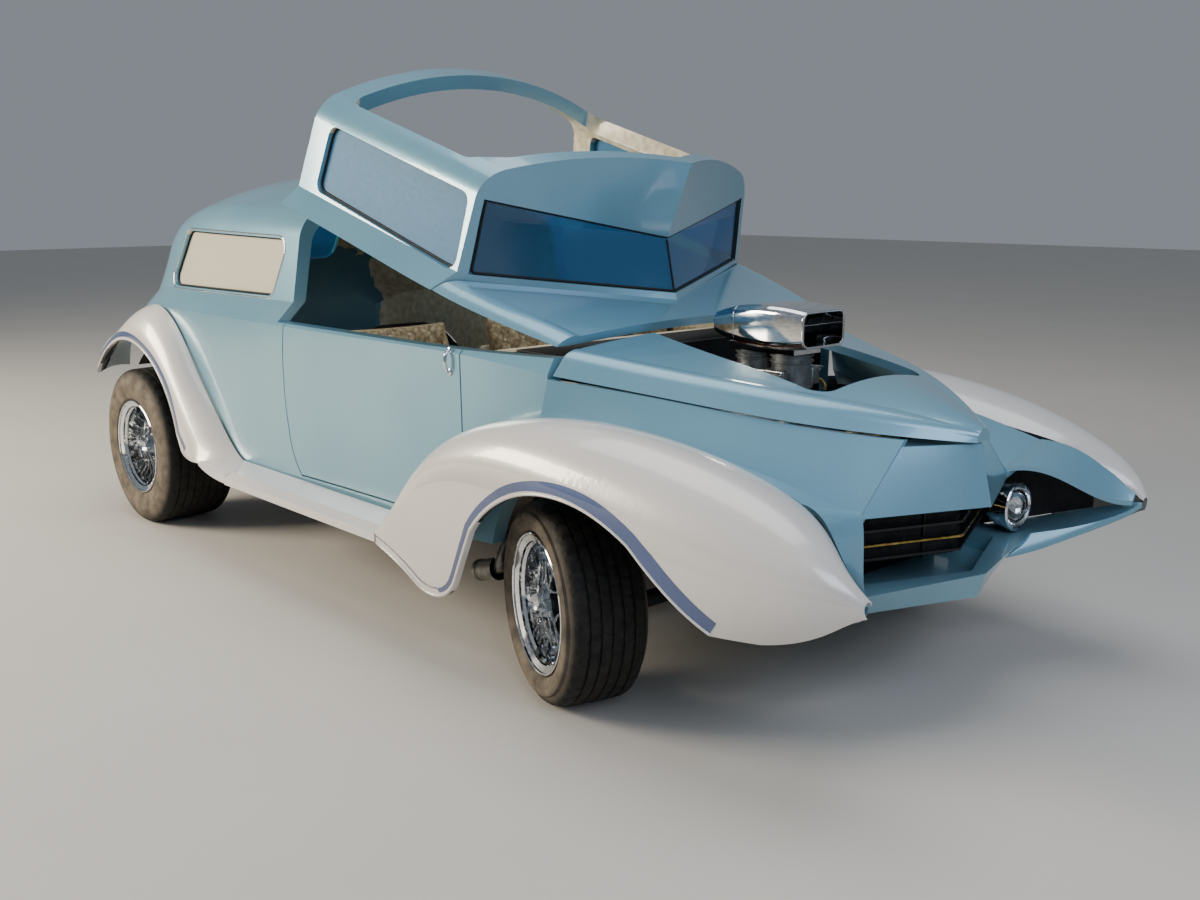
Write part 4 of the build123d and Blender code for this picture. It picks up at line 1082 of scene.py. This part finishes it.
for side, word in ((-1, "right"), (1, "left")):
    ring = even(side_opening, 16, True)[:-1]
    run = raised(laid(panes, side, shifted(ring, -4, True), 2.2))
    wires("side_glass_rubber_" + word, [run], 4.0, seal_rubber, "canopy", closed=True)
    ring = even(quarter_opening, 16, True)[:-1]
    run = laid(quarter, side, shifted(ring, -4, True), 2.2)
    wires("quarter_glass_rubber_" + word, [run], 4.0, seal_rubber, "chassis", closed=True)
    run = laid(tub, side, shifted(ring, 9, True), 0.3)
    wires("quarter_bead_" + word, [run], 3.4, chrome, "chassis", closed=True)
    hit = surface("door_" + word).ray_cast(at(pull_x, side * 1300, pull_z), leftward * -side, 1.3)[0]
    y = abs(hit.y) * 1000
    bow = ((-2, 34), (12, 31), (17, 12), (17, -12), (12, -31), (-2, -34))
    run = [at(pull_x, side * (y + out), pull_z + up) for out, up in bow]
    wires("door_pull_" + word, [run], 5.5, chrome, "door_" + word)
    plates = [turned([(11, 0), (11, 2.5), (8, 4), (0, 4)], at(pull_x, side * (y - 0.5), pull_z + up),
                     leftward * side, 20) for up in (34, -34)]
    new_piece("door_pull_plates_" + word, *joined(*plates), chrome, "door_" + word, 30)


def laid_ahead(tree, path, lift):
    """Points of a front-view path dropped on to a surface from ahead."""
    hits = [tree.ray_cast(at(3200, y, z), -forward, 2.0)[0] for y, z in path]
    return [hit + forward * (lift / 1000) for hit in hits if hit is not None]


screen = surface("windshield", back=back_turn)
outline = [(-600, 1298), (0, 1235), (600, 1298), (628, 1066), (0, 1076), (-628, 1066)]
run = raised(laid_ahead(screen, even(outline, 16, True)[:-1], 3))
wires("windshield_rubber", [run], 4.5, seal_rubber, "canopy", closed=True, smooth=False)
run = raised(laid_ahead(screen, [(1, 1228), (1, 1150), (1, 1080)], 1.5))
wires("windshield_centre", [run], 3.5, seal_rubber, "canopy", smooth=False)


# Mouth: a bright blade on the middle bar and ribbed gauze behind the bars
def mouth_spot(front, y, z):
    """Point on the mouth's V, whose edge is at a station."""
    return at(front - abs(y) * 0.403, y, z)


mouth_half = 360
blade = [mouth_spot(3642.5, y, 533.5) for y in range(-mouth_half, mouth_half + 1, 24)]
wires("mouth_blade", [blade], 5.0, brass, "chassis")
columns = 120
rows = [[mouth_spot(3618 if i % 2 else 3612, mouth_half * (2 * i / columns - 1), z)
         for z in (480, 520, 560, 612)] for i in range(columns + 1)]
new_piece("mouth_gauze", *skin(rows), iron, "chassis", 20)
dressed(cast("radiator_core_black", "0f1011", "1e2022", 0.5, 0.55, 3.0, 0.6), "radiator")
filler = [(20, 0), (20, 9), (27, 10), (27, 16), (22, 20), (0, 21)]
shapes = [slab(at(3370, 0, 780), (66, 506, 26), 9), turned(filler, at(3370, -150, 792), upward, 24)]
new_piece("radiator_tank", *joined(*shapes), brass, "chassis", 30)
hose = ((3337, 130, 776), (3310, 130, 790), (3270, 100, 804), (3205, 70, 804), (3130, 60, 812))
wires("radiator_hose", [[at(*spot) for spot in hose]], 17, seal_rubber, "chassis")

# Black shelf from the dash to the firewall, painted shade for the dark gap under the canopy's front edge,
# and a seal under that edge
new_piece("cowl_shade_shelf", *slab(at(2432, 0, 976), (226, 1060, 6), 2), underseal, "chassis")
apron = surface("canopy_shell", back=back_turn)
hits = [apron.ray_cast(at(2640, y, 800), upward, 1.0)[0] for y in range(-620, 621, 31)]
run = raised([hit + upward * 0.001 for hit in hits if hit is not None])
wires("cowl_seal", [run], 3.2, seal_rubber, "canopy")

# Chin flares: the blue sheet that runs from the chin out to each fender's tip, under the lamp.
# Lamp caves: the black sheet behind each lamp, whose black is painted shade for the hollow round the lamp.
lip_low = [(3570, 380, 371), (3628, 470, 392), (3690, 560, 426), (3752, 640, 462), (3800, 692, 494),
           (3832, 716, 524)]
lip_high = [(3600, 470, 440), (3660, 540, 452), (3720, 606, 470), (3772, 658, 494), (3808, 694, 517),
            (3833, 714, 541)]
floor_back = [(3440, 470, 436), (3470, 545, 440), (3520, 610, 450), (3590, 660, 470), (3690, 694, 500),
              (3790, 712, 532)]
roof_back = [(3400, 470, 400), (3430, 560, 400), (3480, 640, 410), (3560, 700, 435), (3680, 715, 470),
             (3790, 716, 510)]
cave_low = [(3385, 374, 436), (3425, 470, 436), (3460, 545, 440), (3512, 610, 450), (3585, 660, 470),
            (3690, 693, 502)]
cave_high = [(3385, 374, 655), (3425, 470, 655), (3460, 545, 652), (3512, 610, 640), (3585, 655, 622),
             (3690, 690, 580)]
cave_sheet = 5


def along_rail(rail, t):
    """Point a share of the way along a rail of points, on a smooth curve."""
    reach = t * (len(rail) - 1)
    k = min(int(reach), len(rail) - 2)
    f = reach - k
    a, b = rail[max(k - 1, 0)], rail[k]
    c, d = rail[k + 1], rail[min(k + 2, len(rail) - 1)]
    return [0.5 * (2 * q + (r - p) * f + (2 * p - 5 * q + 4 * r - s) * f * f
                   + (3 * q - p - 3 * r + s) * f ** 3) for p, q, r, s in zip(a, b, c, d)]


for side, word in ((-1, "right"), (1, "left")):
    steps = 40
    flare, cave = [], []
    for i in range(steps + 1):
        t = i / steps
        low, high = along_rail(lip_low, t), along_rail(lip_high, t)
        back, under = along_rail(floor_back, t), along_rail(roof_back, t)
        nose = [(a + b) / 2 + c for a, b, c in zip(low, high, (12 * (1 - t), 5 * (1 - t), 0))]
        flare.append([at(x, side * y, z) for x, y, z in (back, high, nose, low, under)])
        (x, y, z), (x_high, y_high, z_high) = along_rail(cave_low, t), along_rail(cave_high, t)
        cave.append([at(x, side * y, z), at(x_high, side * y_high, z_high),
                     at(x_high - cave_sheet, side * y_high, z_high), at(x - cave_sheet, side * y, z)])
    new_piece("chin_flare_" + word, *skin(flare, closed=True, caps=True), body_blue, "chassis", 50)
    # the cave sheet's black is painted shade in the hollow behind the lamp
    new_piece("lamp_cave_shade_" + word, *skin(cave, closed=True), underseal, "chassis", 50)

# Wheel tubs: sheet arches over the rear tyres, ended at the tail.
# Running boards' rear ends, which sweep in under the rear fenders.
tub_section = ((490, 300), (490, 450), (712, 450), (712, 447), (493, 447), (493, 300))
for side, word in ((-1, "right"), (1, "left")):
    rows = []
    steps = 48
    for i in range(steps + 1):
        turn = math.radians(5 + 128 * i / steps)
        rows.append([at(r * math.cos(turn), side * y, max(rear_axle_height + r * math.sin(turn), floor_top))
                     for y, r in tub_section])
    arch = new_piece("wheel_tub_sheet_" + word, *skin(rows, closed=True), underseal, "chassis", 40)
    if word == "right":
        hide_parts("wheel_tubs")
for side, word in ((-1, "right"), (1, "left")):
    rows = []
    steps = 24
    for i in range(steps + 1):
        t = i / steps
        wide, low = 915 - 26 * t * t, 352 + 22 * t * t
        section = ((777, 412), (880, 398), (wide - 6, 388), (wide, 380), (wide, low + 6), (wide - 6, low),
                   (777, 362))
        rows.append([at(959.7 - 290 * t, side * y, z) for y, z in section])
    new_piece("board_tail_" + word, *skin(rows, closed=True, caps=True), pearl_white, "chassis", 40)
